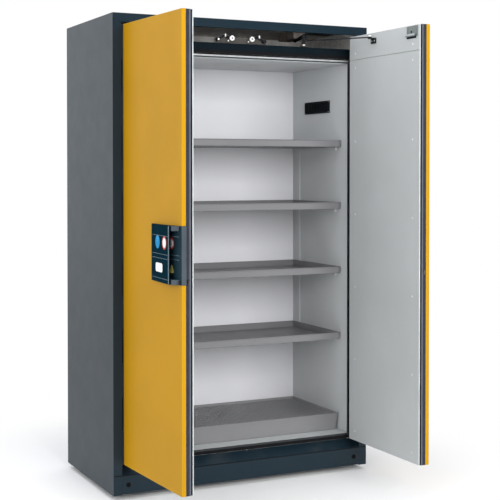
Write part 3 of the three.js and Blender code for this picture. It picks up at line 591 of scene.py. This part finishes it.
# ---- screws, rivets and small turned pieces ------------
def dome_screw(radius, height, socket=0.42):
    """Profile of a domed head with a socket, whose radius is a share of the head's."""
    r, h = radius, height
    return [(0, -0.2), (r, -0.2), (r, 0.18 * h), (0.92 * r, 0.55 * h), (0.74 * r, 0.86 * h),
            (socket * r + 0.2, h), (socket * r, 0.96 * h), (socket * 0.9 * r, 0.45 * h), (0, 0.40 * h)]


def scatter(name, body, look, profile, places, segments=20):
    """One piece made of the same turned shape at several (point, direction) places."""
    bm = bmesh.new()
    for point, direction in places:
        add_lathe(bm, profile, facing(point, direction), segments)
    return finish_mesh(name, bm, body, *look, smooth=40)


PANEL_SCREW_HEIGHTS = (168, 487, 806, 1125, 1444, 1766, 1830)
STRIKER_LIP = (1859.5, 1868.5)  # heights of the striker's hooked lip
# Where the black disc of painted shade sits in the striker's hole.
STRIKER_HOLE_SHADE = (484, DOOR_THICKNESS, 1879)
HINGE_KNUCKLES = 13


def panel_screws(door):
    """Two columns of nearly flat heads; higher ones would cut into the header plate."""
    places = [(along, DOOR_THICKNESS, up)
              for up in PANEL_SCREW_HEIGHTS for along in (DOOR_EDGE + 50, DOOR_END - 51)]
    scatter(f"{door.name}_panel_screws", door.body, ("light_grey_panel", grey_screw),
            dome_screw(4.6, 0.25), door.inner_places(places))


def striker_fittings(door):
    """Screws of the plate that the catch hooks on, with painted light and shade: a white strip as the lit top of
    its lip, a black pad as the shadow under the lip, and a black disc as the shade in its hole.
    """
    plate = f"{door.name}_striker_plate"
    start, end = door.extent(plate, ALONG)
    top, tip = door.extent(plate, Z)[1], door.extent(plate, INWARD)[1]
    lip_bottom, lip_top = STRIKER_LIP
    fixings = [(along, DOOR_THICKNESS + 1.5, top - 9) for along in (start + 10, end - 10)]
    scatter(f"{door.name}_striker_screws", door.body, ("zinc_steel", striker_zinc),
            dome_screw(3.6, 1.8), door.inner_places(fixings))
    # Painted highlight: a white strip where the top of the striker's lip catches the light.
    box_piece(f"{door.name}_striker_wear_strip", door.body, ("white_plastic", edge_white),
              (start + 1, tip + 0.1, lip_top - 4.5), (end - 14, tip + 0.5, lip_top + 1.5),
              door.matrix, 0.15 * MM)
    # Painted shadow: a black pad where the lip casts its shadow on the door panel.
    box_piece(f"{door.name}_striker_buffer", door.body, SEAL,
              (start - 1, DOOR_THICKNESS, lip_bottom - 7), (end - 12, DOOR_THICKNESS + 1.3, lip_bottom + 3),
              door.matrix, 0.3 * MM)
    # Painted shade: a black disc that makes the striker's hole look dark.
    hole_shade_profile = [(0, 0), (4.8, 0), (4.8, 0.5), (3.2, 0.7), (0, 0.4)]
    scatter(f"{door.name}_striker_plug", door.body, SEAL, hole_shade_profile, door.inner_places([STRIKER_HOLE_SHADE]))


def bracket_screws(door):
    bracket = f"{door.name}_closer_bracket"
    (start, end), bottom = door.extent(bracket, ALONG), door.extent(bracket, Z)[0]
    places = [(along, DOOR_THICKNESS + 4.3, bottom + 11) for along in (start + 9, end - 9)]
    scatter(f"{door.name}_bracket_screws", door.body, BRIGHT, dome_screw(3.4, 1.8),
            door.inner_places(places))


def hinge_shade_sleeves(door):
    """Black sleeves on the fixed knuckles of the continuous hinge: painted shade for the dark gap along the hinge.
    """
    pitch = (DOOR_TOP - DOOR_BOTTOM) / HINGE_KNUCKLES
    inner, outer, gap = 3.25, 3.5, 0.4
    bm = bmesh.new()
    for index in range(0, HINGE_KNUCKLES, 2):
        low = DOOR_BOTTOM + index * pitch + gap
        high = low + pitch - 2 * gap
        outline = [(inner, low), (outer, low), (outer, high), (inner, high)]
        add_ring(bm, outline, facing(door.hinge, UP), 24)
    finish_mesh(f"{door.name}_hinge_barrels", bm, "carcass", *BLACK)


for door in (LEFT, RIGHT):
    door_edges(door)
    panel_screws(door)
    striker_fittings(door)
    bracket_screws(door)
    hinge_shade_sleeves(door)


# ---- trays ------------
def tray_loops(low, high, corner, draft, rim):
    """Rings of a pressed tray, from the middle of its underside over the rim to its floor."""
    z0, z1 = low.z, high.z
    wall, fold, steps = 1.5 * MM, 3 * MM, 4
    loops = []

    def ring(inset, z, radius):
        back = inset + draft * (z1 - z) / (z1 - z0)
        loops.append(rounded_rectangle(low.x + back, high.x - back, low.y + back, high.y - back,
                                       max(radius, 0.4 * MM), z))

    for k in range(steps + 1):
        angle = math.radians(90 * k / steps)
        bend = fold * (1 - math.sin(angle))
        ring(rim + bend, z0 + fold * (1 - math.cos(angle)), corner - bend)
    ring(rim, z1 - rim - 1.2 * MM, corner)
    ring(rim * 0.35, z1 - rim - 0.3 * MM, corner + rim * 0.6)
    ring(0, z1 - rim * 0.6, corner + rim)
    ring(0, z1 - 0.9 * MM, corner + rim)
    ring(0.9 * MM, z1, corner + rim - 0.9 * MM)
    ring(rim + wall - 0.8 * MM, z1, corner - wall + 0.8 * MM)
    ring(rim + wall, z1 - 0.8 * MM, corner - wall)
    for k in range(steps + 1):
        angle = math.radians(90 * k / steps)
        bend = fold * (1 - math.cos(angle))
        ring(rim + wall + bend, z0 + wall + fold * (1 - math.sin(angle)), corner - wall - bend)
    return loops


def pressed_tray(name, node, body, corner, draft, rim, material=shelf_grey):
    loops = tray_loops(*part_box(node), corner, draft, rim)
    piece = loft_piece(name, body, ("shelf_paint", material), loops, smooth=50)
    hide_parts(node)


for number in range(1, 5):
    pressed_tray(f"shelf_{number}_tray", f"shelf_{number}", f"shelf_{number}", 7 * MM, 0.0, 2.5 * MM)
pressed_tray("sump_tray_shell", "sump_tray", "carcass", 3.5 * MM, 8 * MM, 1.5 * MM, sump_grey)


def perforated_cover():
    """Folded cover sheet with a field of round holes."""
    low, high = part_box("perforated_insert")
    pitch, hole, sheet, margin = 16 * MM, 5 * MM, 1.2 * MM, 24 * MM
    columns = int((high.x - low.x - 2 * margin) / pitch)
    rows = int((high.y - low.y - 2 * margin) / pitch)
    x0 = (low.x + high.x - columns * pitch) / 2
    y0 = (low.y + high.y - rows * pitch) / 2
    half = pitch / 2
    rim = [(1, 0), (1, 1), (0, 1), (-1, 1), (-1, 0), (-1, -1), (0, -1), (1, -1)]
    same = 0.001 * MM  # heights closer than this are equal
    bm = bmesh.new()

    def cell(cx, cy, z):
        outer = [bm.verts.new((cx + half * i, cy + half * j, z)) for i, j in rim]
        angles = [math.atan2(j, i) for i, j in rim]
        inner = [bm.verts.new((cx + hole * math.cos(a), cy + hole * math.sin(a), z)) for a in angles]
        for k in range(8):
            bm.faces.new((outer[k], outer[(k + 1) % 8], inner[(k + 1) % 8], inner[k]))
        return inner

    for i in range(columns):
        for j in range(rows):
            cx, cy = x0 + (i + 0.5) * pitch, y0 + (j + 0.5) * pitch
            upper = cell(cx, cy, high.z)
            lower = cell(cx, cy, high.z - sheet)
            for k in range(8):
                bm.faces.new((upper[k], upper[(k + 1) % 8], lower[(k + 1) % 8], lower[k]))
    bmesh.ops.remove_doubles(bm, verts=bm.verts, dist=same)

    # The plain border joins the field's outline to the folded skirt.
    field_edges = [edge for edge in bm.edges if len(edge.link_faces) == 1]
    for z, inset in ((high.z, 0.0), (high.z - sheet, sheet)):
        loop = [edge for edge in field_edges if all(abs(vert.co.z - z) < same for vert in edge.verts)]
        corners = rectangle(low.x + inset, high.x - inset, low.y + inset, high.y - inset)
        top = [bm.verts.new((x, y, z)) for x, y in corners]
        foot = [bm.verts.new((x, y, low.z)) for x, y in corners]
        for k in range(4):
            loop.append(bm.edges.new((top[k], top[(k + 1) % 4])))
            bm.faces.new((top[k], top[(k + 1) % 4], foot[(k + 1) % 4], foot[k]))
        bmesh.ops.triangle_fill(bm, edges=loop, use_beauty=True)

    # A narrow face closes the skirt between its outer and its inner sheet.
    feet = [vert for vert in bm.verts if abs(vert.co.z - low.z) < same]
    outer = sorted(feet, key=lambda vert: -abs(vert.co.x) - abs(vert.co.y))[:4]
    inner = [vert for vert in feet if vert not in outer]
    for a in outer:
        for b in outer:
            if b is a or min(abs(b.co.x - a.co.x), abs(b.co.y - a.co.y)) > 10 * same:
                continue
            near = [min(inner, key=lambda vert, p=p: (vert.co - p.co).length) for p in (a, b)]
            ring = (a, b, near[1], near[0])
            if bm.faces.get(ring) is None:
                bm.faces.new(ring)
    piece = finish_mesh("perforated_cover", bm, "perforated_insert", "shelf_paint", shelf_grey, smooth=30)
    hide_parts("perforated_insert")


perforated_cover()


# ---- carcass details ------------
SILL_SCREWS = (-478, 25, 528)  # their places across the cabinet
ACROSS_OPENING = (-INNER_X, INNER_X)
BEHIND_SEAL = (SEAL_PLANE + 0.3 * MM, SEAL_PLANE + 2.0 * MM)


def strip(name, look, xs, ys, zs):
    low, high = zip(xs, ys, zs)
    box_piece(name, "carcass", look, low, high)


def opening_strips():
    """Trim, seals and gaskets round the opening, just behind the seal."""
    for name, look, edge, low, high in (
            ("header_trim", ("zinc_steel", aluminium), CEILING_Z, 8.8, 14.2),
            ("header_gap_seal", SEAL, CEILING_Z, 14.8, 20.6),
            # A dark grey strip just above the ceiling's front edge, along the dark line there.
            ("ceiling_gasket", ("black_rubber", gasket_grey), CEILING_Z, 1.5, 8.2),
            ("floor_edge_strip", ("black_rubber", grey_seal), FLOOR_Z, -24.8, -0.6)):
        strip(name, look, ACROSS_OPENING, BEHIND_SEAL, (edge + low * MM, edge + high * MM))
    for name, side in SIDES:
        across = sorted((side * (INNER_X - 3.4 * MM), side * (INNER_X - 0.3 * MM)))
        strip(f"jamb_gasket_{name}", SEAL, across, BEHIND_SEAL, (FLOOR_Z + 0.6 * MM, CEILING_Z - 0.6 * MM))


def rear_gap_covers():
    """Plates that close the slots between the base frame and the side panels' rear flanges."""
    base_edge, base_top = node_range("base_frame", X)[1], node_range("base_frame", Z)[1]
    flange_edge = node_range("rear_panel", X)[1]
    overlap = 8 * MM
    for name, side in SIDES:
        across = sorted((side * (base_edge - overlap), side * (flange_edge + overlap)))
        strip(f"rear_gap_cover_{name}", ("anthracite_paint", anthracite), across,
              (BACK_Y - 4.5 * MM, BACK_Y - 3 * MM), (1 * MM, base_top))


def plinth_joint():
    """Black strip in the joint between the sill and the plinth panel: painted shade for the shadow gap there."""
    top = node_range("plinth_panel", Z)[1]
    half = SIDE_X - 4 * MM
    strip("plinth_joint_filler", SEAL, (-half, half), (FRONT - 0.3 * MM, FRONT + 0.8 * MM),
          (top - 4.4 * MM, top - 0.4 * MM))


def cavity_lining():
    """Galvanised lining of the space above the ceiling: rear, both ends, and the roof round the closers."""
    deck = node_range("header_plate", Z)[1] + 1 * MM
    body_low, body_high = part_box("right_closer_body")
    roof = body_high.z
    rear = BACK_Y - 3 * MM
    inside = SIDE_X - 3 * MM
    sheet, gap, margin = 0.8 * MM, 1 * MM, 3 * MM
    bm = bmesh.new()
    add_box(bm, (-inside, rear - sheet, deck), (inside, rear, roof), round_by=0)
    for side in (-1, 1):
        x0, x1 = sorted((side * inside, side * (inside - sheet)))
        add_box(bm, (x0, SEAL_PLANE + 4 * MM, deck), (x1, rear - gap, roof), round_by=0)
    fronts = (FRONT + 22 * MM, body_low.y - margin)
    between = (body_low.y - margin, body_high.y + margin)
    rears = (body_high.y + margin, rear - gap)
    beside = body_low.x - margin
    for half, (y0, y1) in ((inside, fronts), (inside, rears), (beside, between)):
        add_box(bm, (gap - half, y0, roof - sheet), (half - gap, y1, roof), round_by=0)
    finish_mesh("cavity_lining", bm, "carcass", "zinc_steel", lining_zinc)


def plinth_plugs():
    """Plugs in the two round holes of the plinth panel."""
    profile = [(0, -5), (7.8, -5), (8.1, 0.1), (10.0, 0.1), (10.2, 0.5), (9.4, 1.2), (7.4, 1.3),
               (6.9, -2.6), (0, -3.0)]
    places = [((side * (SIDE_X - 64 * MM), FRONT, 40 * MM), FORWARD) for side in (-1, 1)]
    scatter("plinth_plugs", "carcass", ("dark_plastic", black_seal), profile, places, segments=32)


def sill_screws():
    top = node_range("base_frame", Z)[1]
    places = [((x * MM, SEAL_PLANE - 1.0 * MM, top), UP) for x in SILL_SCREWS]
    scatter("sill_screws", "carcass", BRIGHT, dome_screw(3.4, 1.6), places)


def rear_rivets():
    """Rivets down both edges of the rear panel, and along its top and its bottom."""
    profile = [(0, -0.2), (3.2, -0.2), (3.0, 0.5), (1.9, 1.2), (1.0, 1.25), (0.9, 0.6), (0, 0.6)]
    lowest, highest, column_count = 150, 1900, 12
    pitch = (highest - lowest) / (column_count - 1)
    columns = [(side * (SIDE_X - 45 * MM), (lowest + step * pitch) * MM)
               for step in range(column_count) for side in (-1, 1)]
    rows = [((160 * step - 480) * MM, up * MM) for step in range(7) for up in (110, 1930)]
    places = [((x, BACK_Y, z), (0, 1, 0)) for x, z in columns + rows]
    scatter("rear_rivets", "carcass", ("zinc_steel", dull_zinc), profile, places, segments=16)


def grille_screws():
    low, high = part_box("vent_grille")
    inset = 4 * MM
    places = [((low.x, y, z), (-1, 0, 0)) for y in (low.y + inset, high.y - inset)
              for z in (low.z + inset, high.z - inset)]
    scatter("grille_screws", "carcass", BRIGHT, dome_screw(2.2, 1.0), places)


def exhaust_pipe():
    """Spun spigot with a rolled bead, on a screwed flange."""
    low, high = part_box("exhaust_spigot")
    foot = Vector(((low.x + high.x) / 2, (low.y + high.y) / 2, low.z))
    flange, height = (high.x - low.x) / 2 / MM, (high.z - low.z) / MM
    outer, wall, sheet = 37.5, 1.2, 3
    outline = [(outer - wall, 0), (flange - 0.5, 0), (flange, 0.5), (flange, 2.4), (flange - 0.6, sheet),
               (outer + 3, sheet), (outer + 0.8, 4), (outer, 7)]
    bead, bead_steps = 0.62 * height, 8
    for k in range(bead_steps + 1):
        angle = math.pi * k / bead_steps
        outline.append((outer + 1.6 * math.sin(angle), bead - 3 * math.cos(angle)))
    outline += [(outer, height - 0.6), (outer - wall / 2, height), (outer - wall, height - 0.6)]
    bm = bmesh.new()
    add_ring(bm, outline, facing(foot, UP), 72)
    piece = finish_mesh("exhaust_pipe", bm, "carcass", "zinc_steel", zinc, smooth=40)
    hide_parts("exhaust_spigot")
    circle = 45.5 * MM
    places = []
    for k in range(4):
        angle = math.radians(45 + 90 * k)
        offset = Vector((circle * math.cos(angle), circle * math.sin(angle), sheet * MM))
        places.append((foot + offset, UP))
    scatter("exhaust_screws", "carcass", BRIGHT, dome_screw(3.2, 1.8), places)


opening_strips()
rear_gap_covers()
plinth_joint()
cavity_lining()
plinth_plugs()
sill_screws()
rear_rivets()
grille_screws()
exhaust_pipe()


# ---- catches and closers ------------
CATCH_PIN = (29.5, 17)  # from a catch's pivot to its white pin: towards the roller, and up
CATCH_DEPTH = {"pin": 56, "knob": 62, "stop": 66, "spring": 75.5}  # behind the plinth's front
SPRING_START = (62, 1866)  # outwards from the catch bracket's middle, and up
CLOSER_PIN = (199, 66)  # the closer's pin on the door: along, and inward


def catch_fittings(name, side):
    """Wheel, axle head, pin, stop and return spring of a catch."""
    low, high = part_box(f"{name}_catch_roller")
    centre = (low + high) / 2
    radius, half = (high.x - low.x) / 2 / MM, (high.y - low.y) / 2 / MM
    bore, edge = 3.3, 0.8
    outline = [(bore, -half), (4.4, -half), (5.0, 1.0 - half), (7.6, 1.4 - half), (8.4, -half),
               (radius - edge, -half), (radius, edge - half), (radius, half - edge),
               (radius - edge, half), (bore, half)]
    bm = bmesh.new()
    add_ring(bm, outline, facing(centre, (0, 1, 0)), 48)
    piece = finish_mesh(f"{name}_catch_wheel", bm, f"{name}_catch_roller", *WHITE)
    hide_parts(f"{name}_catch_roller")

    body = f"{name}_catch_lever"
    pivot = Vector(JOINTS[f"{name}_catch_swing"]["pos_m"])
    scatter(f"{name}_wheel_axle_head", body, ("zinc_steel", zinc), dome_screw(4.2, 1.4, 0.3),
            [((centre.x, low.y - 1.9 * MM, centre.z), FORWARD)])
    pin = [(0, -6.5), (2.4, -6.1), (3.2, -5.0), (3.2, 5.0), (2.4, 6.1), (0, 6.5)]
    knee = (pivot.x - side * CATCH_PIN[0] * MM, FRONT + CATCH_DEPTH["pin"] * MM,
            pivot.z + CATCH_PIN[1] * MM)
    scatter(f"{name}_catch_pin", body, WHITE, pin, [(knee, UP)])
    button = [(0, -2), (3.4, -2), (3.4, 1), (2.4, 2.2), (0, 2.6)]
    stop = (centre.x - 14.5 * MM, FRONT + CATCH_DEPTH["stop"] * MM, centre.z - 11 * MM)
    scatter(f"{name}_catch_stop", body, WHITE, button, [(stop, FORWARD)])
    if name == "left":
        boss = (pivot.x, FRONT + CATCH_DEPTH["knob"] * MM, pivot.z)
        scatter("left_catch_knob_cap", body, WHITE, dome_screw(4.4, 2.0), [(boss, FORWARD)])
    spring_coil(name, side)


def spring_coil(name, side):
    """Return spring of a catch, hung between the lever and the plate behind it."""
    curve = bpy.data.curves.new(f"{name}_catch_spring", "CURVE")
    curve.dimensions = "3D"
    curve.bevel_depth = 0.7 * MM
    curve.bevel_resolution = 3
    spline = curve.splines.new("POLY")
    turns, steps, radius, length = 7, 14, 2.6 * MM, 30 * MM
    low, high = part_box("catch_bracket")
    outwards, up = SPRING_START
    start = Vector(((low.x + high.x) / 2 + side * outwards * MM,
                    FRONT + CATCH_DEPTH["spring"] * MM, up * MM))
    last = turns * steps
    spline.points.add(last)
    for k in range(last + 1):
        angle = 2 * math.pi * k / steps
        spline.points[k].co = (start.x + side * length * k / last, start.y + radius * math.cos(angle),
                               start.z + radius * math.sin(angle), 1)
    curve.materials.append(bright_zinc)
    piece = bpy.data.objects.new(f"{name}_catch_spring", curve)
    bpy.context.scene.collection.objects.link(piece)
    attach(piece, "carcass")


def closer_fixings(door):
    """Bolt heads, sleeves and white end caps on a closer's elbow, spindle and door pin."""
    elbow = Vector(JOINTS[f"{door.name}_closer_elbow"]["pos_m"])
    spindle = Vector(JOINTS[f"{door.name}_closer_pivot"]["pos_m"])
    arm_low = node_range(f"{door.name}_closer_arm", Z)[0]
    to_face = 2.6 * MM  # from the arm's middle to just outside its faces
    cap = [(0, 0), (6.0, 0), (6.0, 3.0), (5.0, 4.2), (0, 4.6)]
    hexagon = [(0, 0), (6.2, 0), (6.2, 3.2), (5.4, 4.2), (0, 4.4)]
    foot = [(0, 0), (8.4, 0), (9, 1), (9, 10), (8.4, 11), (0, 11)]
    sleeve = [(0, 0), (10.4, 0), (11, 1), (11, 13), (10.4, 14), (0, 14)]
    for part, look, profile, axis, height, direction, segments in (
            ("elbow_cap", WHITE, cap, elbow, arm_low - 0.1 * MM, DOWN, 20),
            ("elbow_bolt", BLACK, hexagon, elbow, spindle.z + to_face, UP, 6),
            ("spindle_bolt", BLACK, hexagon, spindle, spindle.z - to_face, DOWN, 6),
            ("elbow_foot", BLACK, foot, elbow, arm_low + 1 * MM, UP, 20),
            ("elbow_sleeve", BLACK, sleeve, elbow, elbow.z + 4.5 * MM, UP, 20)):
        scatter(f"{door.name}_{part}", f"{door.name}_closer_arm", look, profile,
                [((axis.x, axis.y, height), direction)], segments)
    pin_top = door.extent(f"{door.name}_closer_bracket", Z)[1]
    button = [(0, 0), (6.4, 0), (6.4, 2.2), (5.2, 3.4), (0, 3.8)]
    scatter(f"{door.name}_door_pin_cap", door.body, WHITE, button,
            [(door.point(*CLOSER_PIN, pin_top + 0.1), UP)])


for name, side in SIDES:
    catch_fittings(name, side)
for door in (LEFT, RIGHT):
    closer_fixings(door)


# ---- handle signs ------------
FLAP_FACE = 1.5  # from the flap's mid plane to its outer face
BASE_FACE = 4.0  # from the door's outer face to the front of the housing's back plate
RULE_HEIGHTS = (1075, 1006, 990, 915)
RULE_WIDTH = 1.2
SIGN_HEIGHT = 1050


def flap_frame():
    """Axes on the flap's outer face, in millimetres: along the slope, outward and up, from the pivot."""
    back = LEFT.matrix.inverted()
    pivot = back @ Vector(JOINTS["handle_flap_pull"]["pos_m"])
    outermost = min((back @ vertex.co for vertex in NODES["handle_flap"].data.vertices), key=lambda co: co.y)
    length = outermost.x - pivot.x
    slope = math.atan2(pivot.y - FLAP_FACE - outermost.y, length)
    place = Matrix.Translation((pivot.x, pivot.y, 0))
    return LEFT.matrix @ place @ Matrix.Rotation(-slope, 4, "Z"), length


def sign_disc(name, body, matrix, centre, radius, rings):
    """A plain round sign: rings of (share of the radius, material), outermost first."""
    place = matrix @ Matrix.Translation(centre) @ Matrix.Rotation(math.pi / 2, 4, "X")
    for index, (share, material) in enumerate(rings):
        r = radius * share
        thick = 0.35 + 0.12 * index
        profile = [(0, 0), (r, 0), (r, thick - 0.1), (r - 0.15, thick), (0, thick)]
        bm = bmesh.new()
        add_lathe(bm, profile, place, 64)
        finish_mesh(f"{name}_{index}", bm, body, "dark_plastic", material)


def triangle_sign():
    """A plain triangle with cut corners: a dark rim and a yellow field."""
    centre_x, centre_z, size = 466, 952, 24
    for scale, thick, material, part in ((1.0, 0.35, dark_plastic, "rim"), (0.82, 0.5, sign_yellow, "field")):
        outline = []
        for corner in (90, 210, 330):
            for offset, share in ((-18, 0.82), (0, 0.94), (18, 0.82)):
                angle = math.radians(corner + offset)
                reach = size * scale * share
                outline.append((centre_x + reach * math.cos(angle), centre_z + reach * math.sin(angle)))
        rows = [[(x, -depth, z) for x, z in outline] for depth in (BASE_FACE, BASE_FACE + thick)]
        loft_piece(f"housing_triangle_{part}", "left_door", ("dark_plastic", material), rows, LEFT.matrix)


def flap_trim():
    """Painted highlight strip on the grip flap's free edge, blank plate on the flap, and printed rules on flap and
    housing.
    """
    # Painted highlight: a light strip along the flap's free edge.
    box_piece("flap_edge_strip", "handle_flap", ("dark_plastic", edge_grey),
              (FLAP_LENGTH - 2, -2.0, HANDLE_BOTTOM + 1), (FLAP_LENGTH + 1, 0.4, HANDLE_TOP - 1),
              FLAP, 0.3 * MM)
    for name, body, matrix, (start, end), (outer, inner) in (
            ("flap_rules", "handle_flap", FLAP, (8, FLAP_LENGTH - 8), (-1.9, -1.4)),
            ("housing_rules", "left_door", LEFT.matrix, (422, 528), (-BASE_FACE - 0.4, 0.1 - BASE_FACE))):
        bm = bmesh.new()
        for up in RULE_HEIGHTS:
            add_box(bm, (start, outer, up), (end, inner, up + RULE_WIDTH), matrix, 0.15 * MM)
        finish_mesh(name, bm, body, "dark_plastic", line_grey)
    (start, end), (bottom, top), corner = (48, 128), (938, 972), 9
    plate = rounded_rectangle(start, end, bottom, top, corner, 0, 5)
    rows = [[(x, depth, z) for x, z, _ in plate] for depth in (-1.4, -1.9)]
    loft_piece("flap_blank_plate", "handle_flap", ("dark_plastic", sign_white), rows, FLAP)


def handle_highlights():
    """Painted highlights on the handle housing: a lighter facing on its free edge, and lighter caps over the
    crests of its end walls.
    """
    outer, inner = LEFT.extent("handle_housing", INWARD)
    look = ("dark_plastic", handle_grey)
    box_piece("handle_edge_facing", "left_door", look, (HANDLE_END - 0.1, outer + 20, HANDLE_BOTTOM + 1),
              (HANDLE_END + 0.6, inner - 0.4, HANDLE_TOP - 1), LEFT.matrix, 0.25 * MM)
    crest, crest_end, foot = (502.5, -23.0), (508.0, -23.0), (527.0, -4.5)
    lift, wall = 0.5, (0.6, 18.4)
    section = [crest, crest_end, foot, (foot[0] + lift, foot[1]),
               (crest_end[0] + lift / 2, crest_end[1] - lift), (crest[0], crest[1] - lift)]
    bm = bmesh.new()
    for heights in ([HANDLE_BOTTOM + up for up in wall], [HANDLE_TOP - up for up in wall[::-1]]):
        add_loft(bm, [[(along, out, up) for along, out in section] for up in heights], LEFT.matrix)
    finish_mesh("handle_end_caps", bm, "left_door", *look)


FLAP, FLAP_LENGTH = flap_frame()
sign_disc("flap_blue_sign", "handle_flap", FLAP, (70, -FLAP_FACE, SIGN_HEIGHT), 25,
          [(1.0, sign_blue), (0.5, sign_blue)])
sign_disc("flap_red_sign", "handle_flap", FLAP, (150, -FLAP_FACE, SIGN_HEIGHT), 25,
          [(1.0, sign_red), (0.74, sign_white)])
sign_disc("housing_red_sign", "left_door", LEFT.matrix, (461, -BASE_FACE, SIGN_HEIGHT), 23,
          [(1.0, sign_red), (0.72, sign_white)])
triangle_sign()
flap_trim()
handle_highlights()


# ---- stage, light and camera ------------
CABINET_MIDDLE = Vector((0, -0.2, 1.0))
BRIGHT_SIDE = (-0.66, 0.66, 0.36)  # where the studio is brightest
FOOT_TRAVEL = 20 * MM  # the floor lies just under the levelling feet when they are screwed right out


def make_stage():
    """A pale floor that keeps the soft shadow near the cabinet and fades to white further out."""
    s = Shader("pale_floor")
    cloud = s.noise(1.5, 4.0)
    s.set(color=s.mix(cloud, (0.84, 0.84, 0.84), (0.87, 0.87, 0.87)), roughness=0.7, specular=0.1)
    distance = s.node("ShaderNodeVectorMath", {0: s.place}, operation="LENGTH").outputs["Value"]
    white = s.node("ShaderNodeEmission", {"Color": (1, 1, 1, 1), "Strength": 1.0}).outputs[0]
    fade = s.remap(distance, 0.75, 1.5)
    blend = s.node("ShaderNodeMixShader", {0: fade, 1: s.bsdf.outputs[0], 2: white}).outputs[0]
    s.feed(s.output.inputs["Surface"], blend)
    mesh = bpy.data.meshes.new("floor")
    reach = 14
    corners = [(x, y, 0) for x, y in rectangle(-reach, reach, -reach, reach)]
    mesh.from_pydata(corners, [], [(0, 1, 2, 3)])
    mesh.materials.append(s.material)
    floor = bpy.data.objects.new("floor", mesh)
    floor.location.z = -FOOT_TRAVEL - 1 * MM
    bpy.context.scene.collection.objects.link(floor)


def area_light(name, place, size, power):
    """A rectangular lamp that faces the middle of the cabinet."""
    data = bpy.data.lights.new(name, "AREA")
    data.shape = "RECTANGLE"
    data.size, data.size_y = size
    data.energy = power
    lamp = bpy.data.objects.new(name, data)
    lamp.location = place
    direction = CABINET_MIDDLE - Vector(place)
    lamp.rotation_euler = direction.to_track_quat("-Z", "Y").to_euler()
    bpy.context.scene.collection.objects.link(lamp)
    return lamp


def make_world():
    """White studio: full white to the camera, brighter behind and to the left than in front."""
    world = bpy.data.worlds.new("studio")
    world.use_nodes = True
    s = Nodes(world.node_tree)
    surface = s.tree.nodes["World Output"].inputs["Surface"]
    place = s.node("ShaderNodeTexCoord").outputs["Generated"]
    values = {0: place, 1: BRIGHT_SIDE}
    towards = s.node("ShaderNodeVectorMath", values, operation="DOT_PRODUCT").outputs["Value"]
    values = {"Value": towards, "From Min": -0.7, "From Max": 0.8, "To Min": 0.16, "To Max": 1.52}
    level = s.node("ShaderNodeMapRange", values).outputs["Result"]
    ambient = s.tree.nodes["Background"]
    s.feed(ambient.inputs["Color"], (0.95, 0.97, 1.0, 1.0))
    s.feed(ambient.inputs["Strength"], level)
    seen = s.node("ShaderNodeBackground", {"Color": (1, 1, 1, 1)}).outputs[0]
    values = {1: ambient.outputs[0], 2: seen}
    mix = s.node("ShaderNodeMixShader", values)
    s.feed(mix.inputs[0], s.node("ShaderNodeLightPath").outputs["Is Camera Ray"])
    s.feed(surface, mix.outputs[0])
    bpy.context.scene.world = world


CAMERA_OFFSET = Vector((-1.5703, -4.4700, 1.3244))  # from the front left foot of the carcass
CAMERA_TILT, CAMERA_TURN = -1.103, -26.04  # degrees up from level, and round from facing +y


def make_camera():
    """The photograph's viewing angle, fitted to the corners of the carcass."""
    data = bpy.data.cameras.new("camera")
    data.sensor_width = 36
    data.lens = 84.26
    data.shift_y = -0.1172
    camera = bpy.data.objects.new("camera", data)
    camera.location = Vector((-SIDE_X, FRONT, 0)) + CAMERA_OFFSET
    camera.rotation_euler = (math.radians(90 + CAMERA_TILT), 0, math.radians(CAMERA_TURN))
    bpy.context.scene.collection.objects.link(camera)
    bpy.context.scene.camera = camera
    bpy.context.scene.view_settings.view_transform = "Standard"


make_stage()
key = area_light("key", (0.2, -5.6, 2.2), (2.8, 2.4), 320)
key.visible_glossy = False  # so that the dark front faces stay dark
area_light("left_fill", (-4.2, -3.6, 2.2), (3.0, 3.0), 78)
area_light("top", (0.0, -1.8, 4.4), (3.0, 2.0), 32)
make_world()
make_camera()
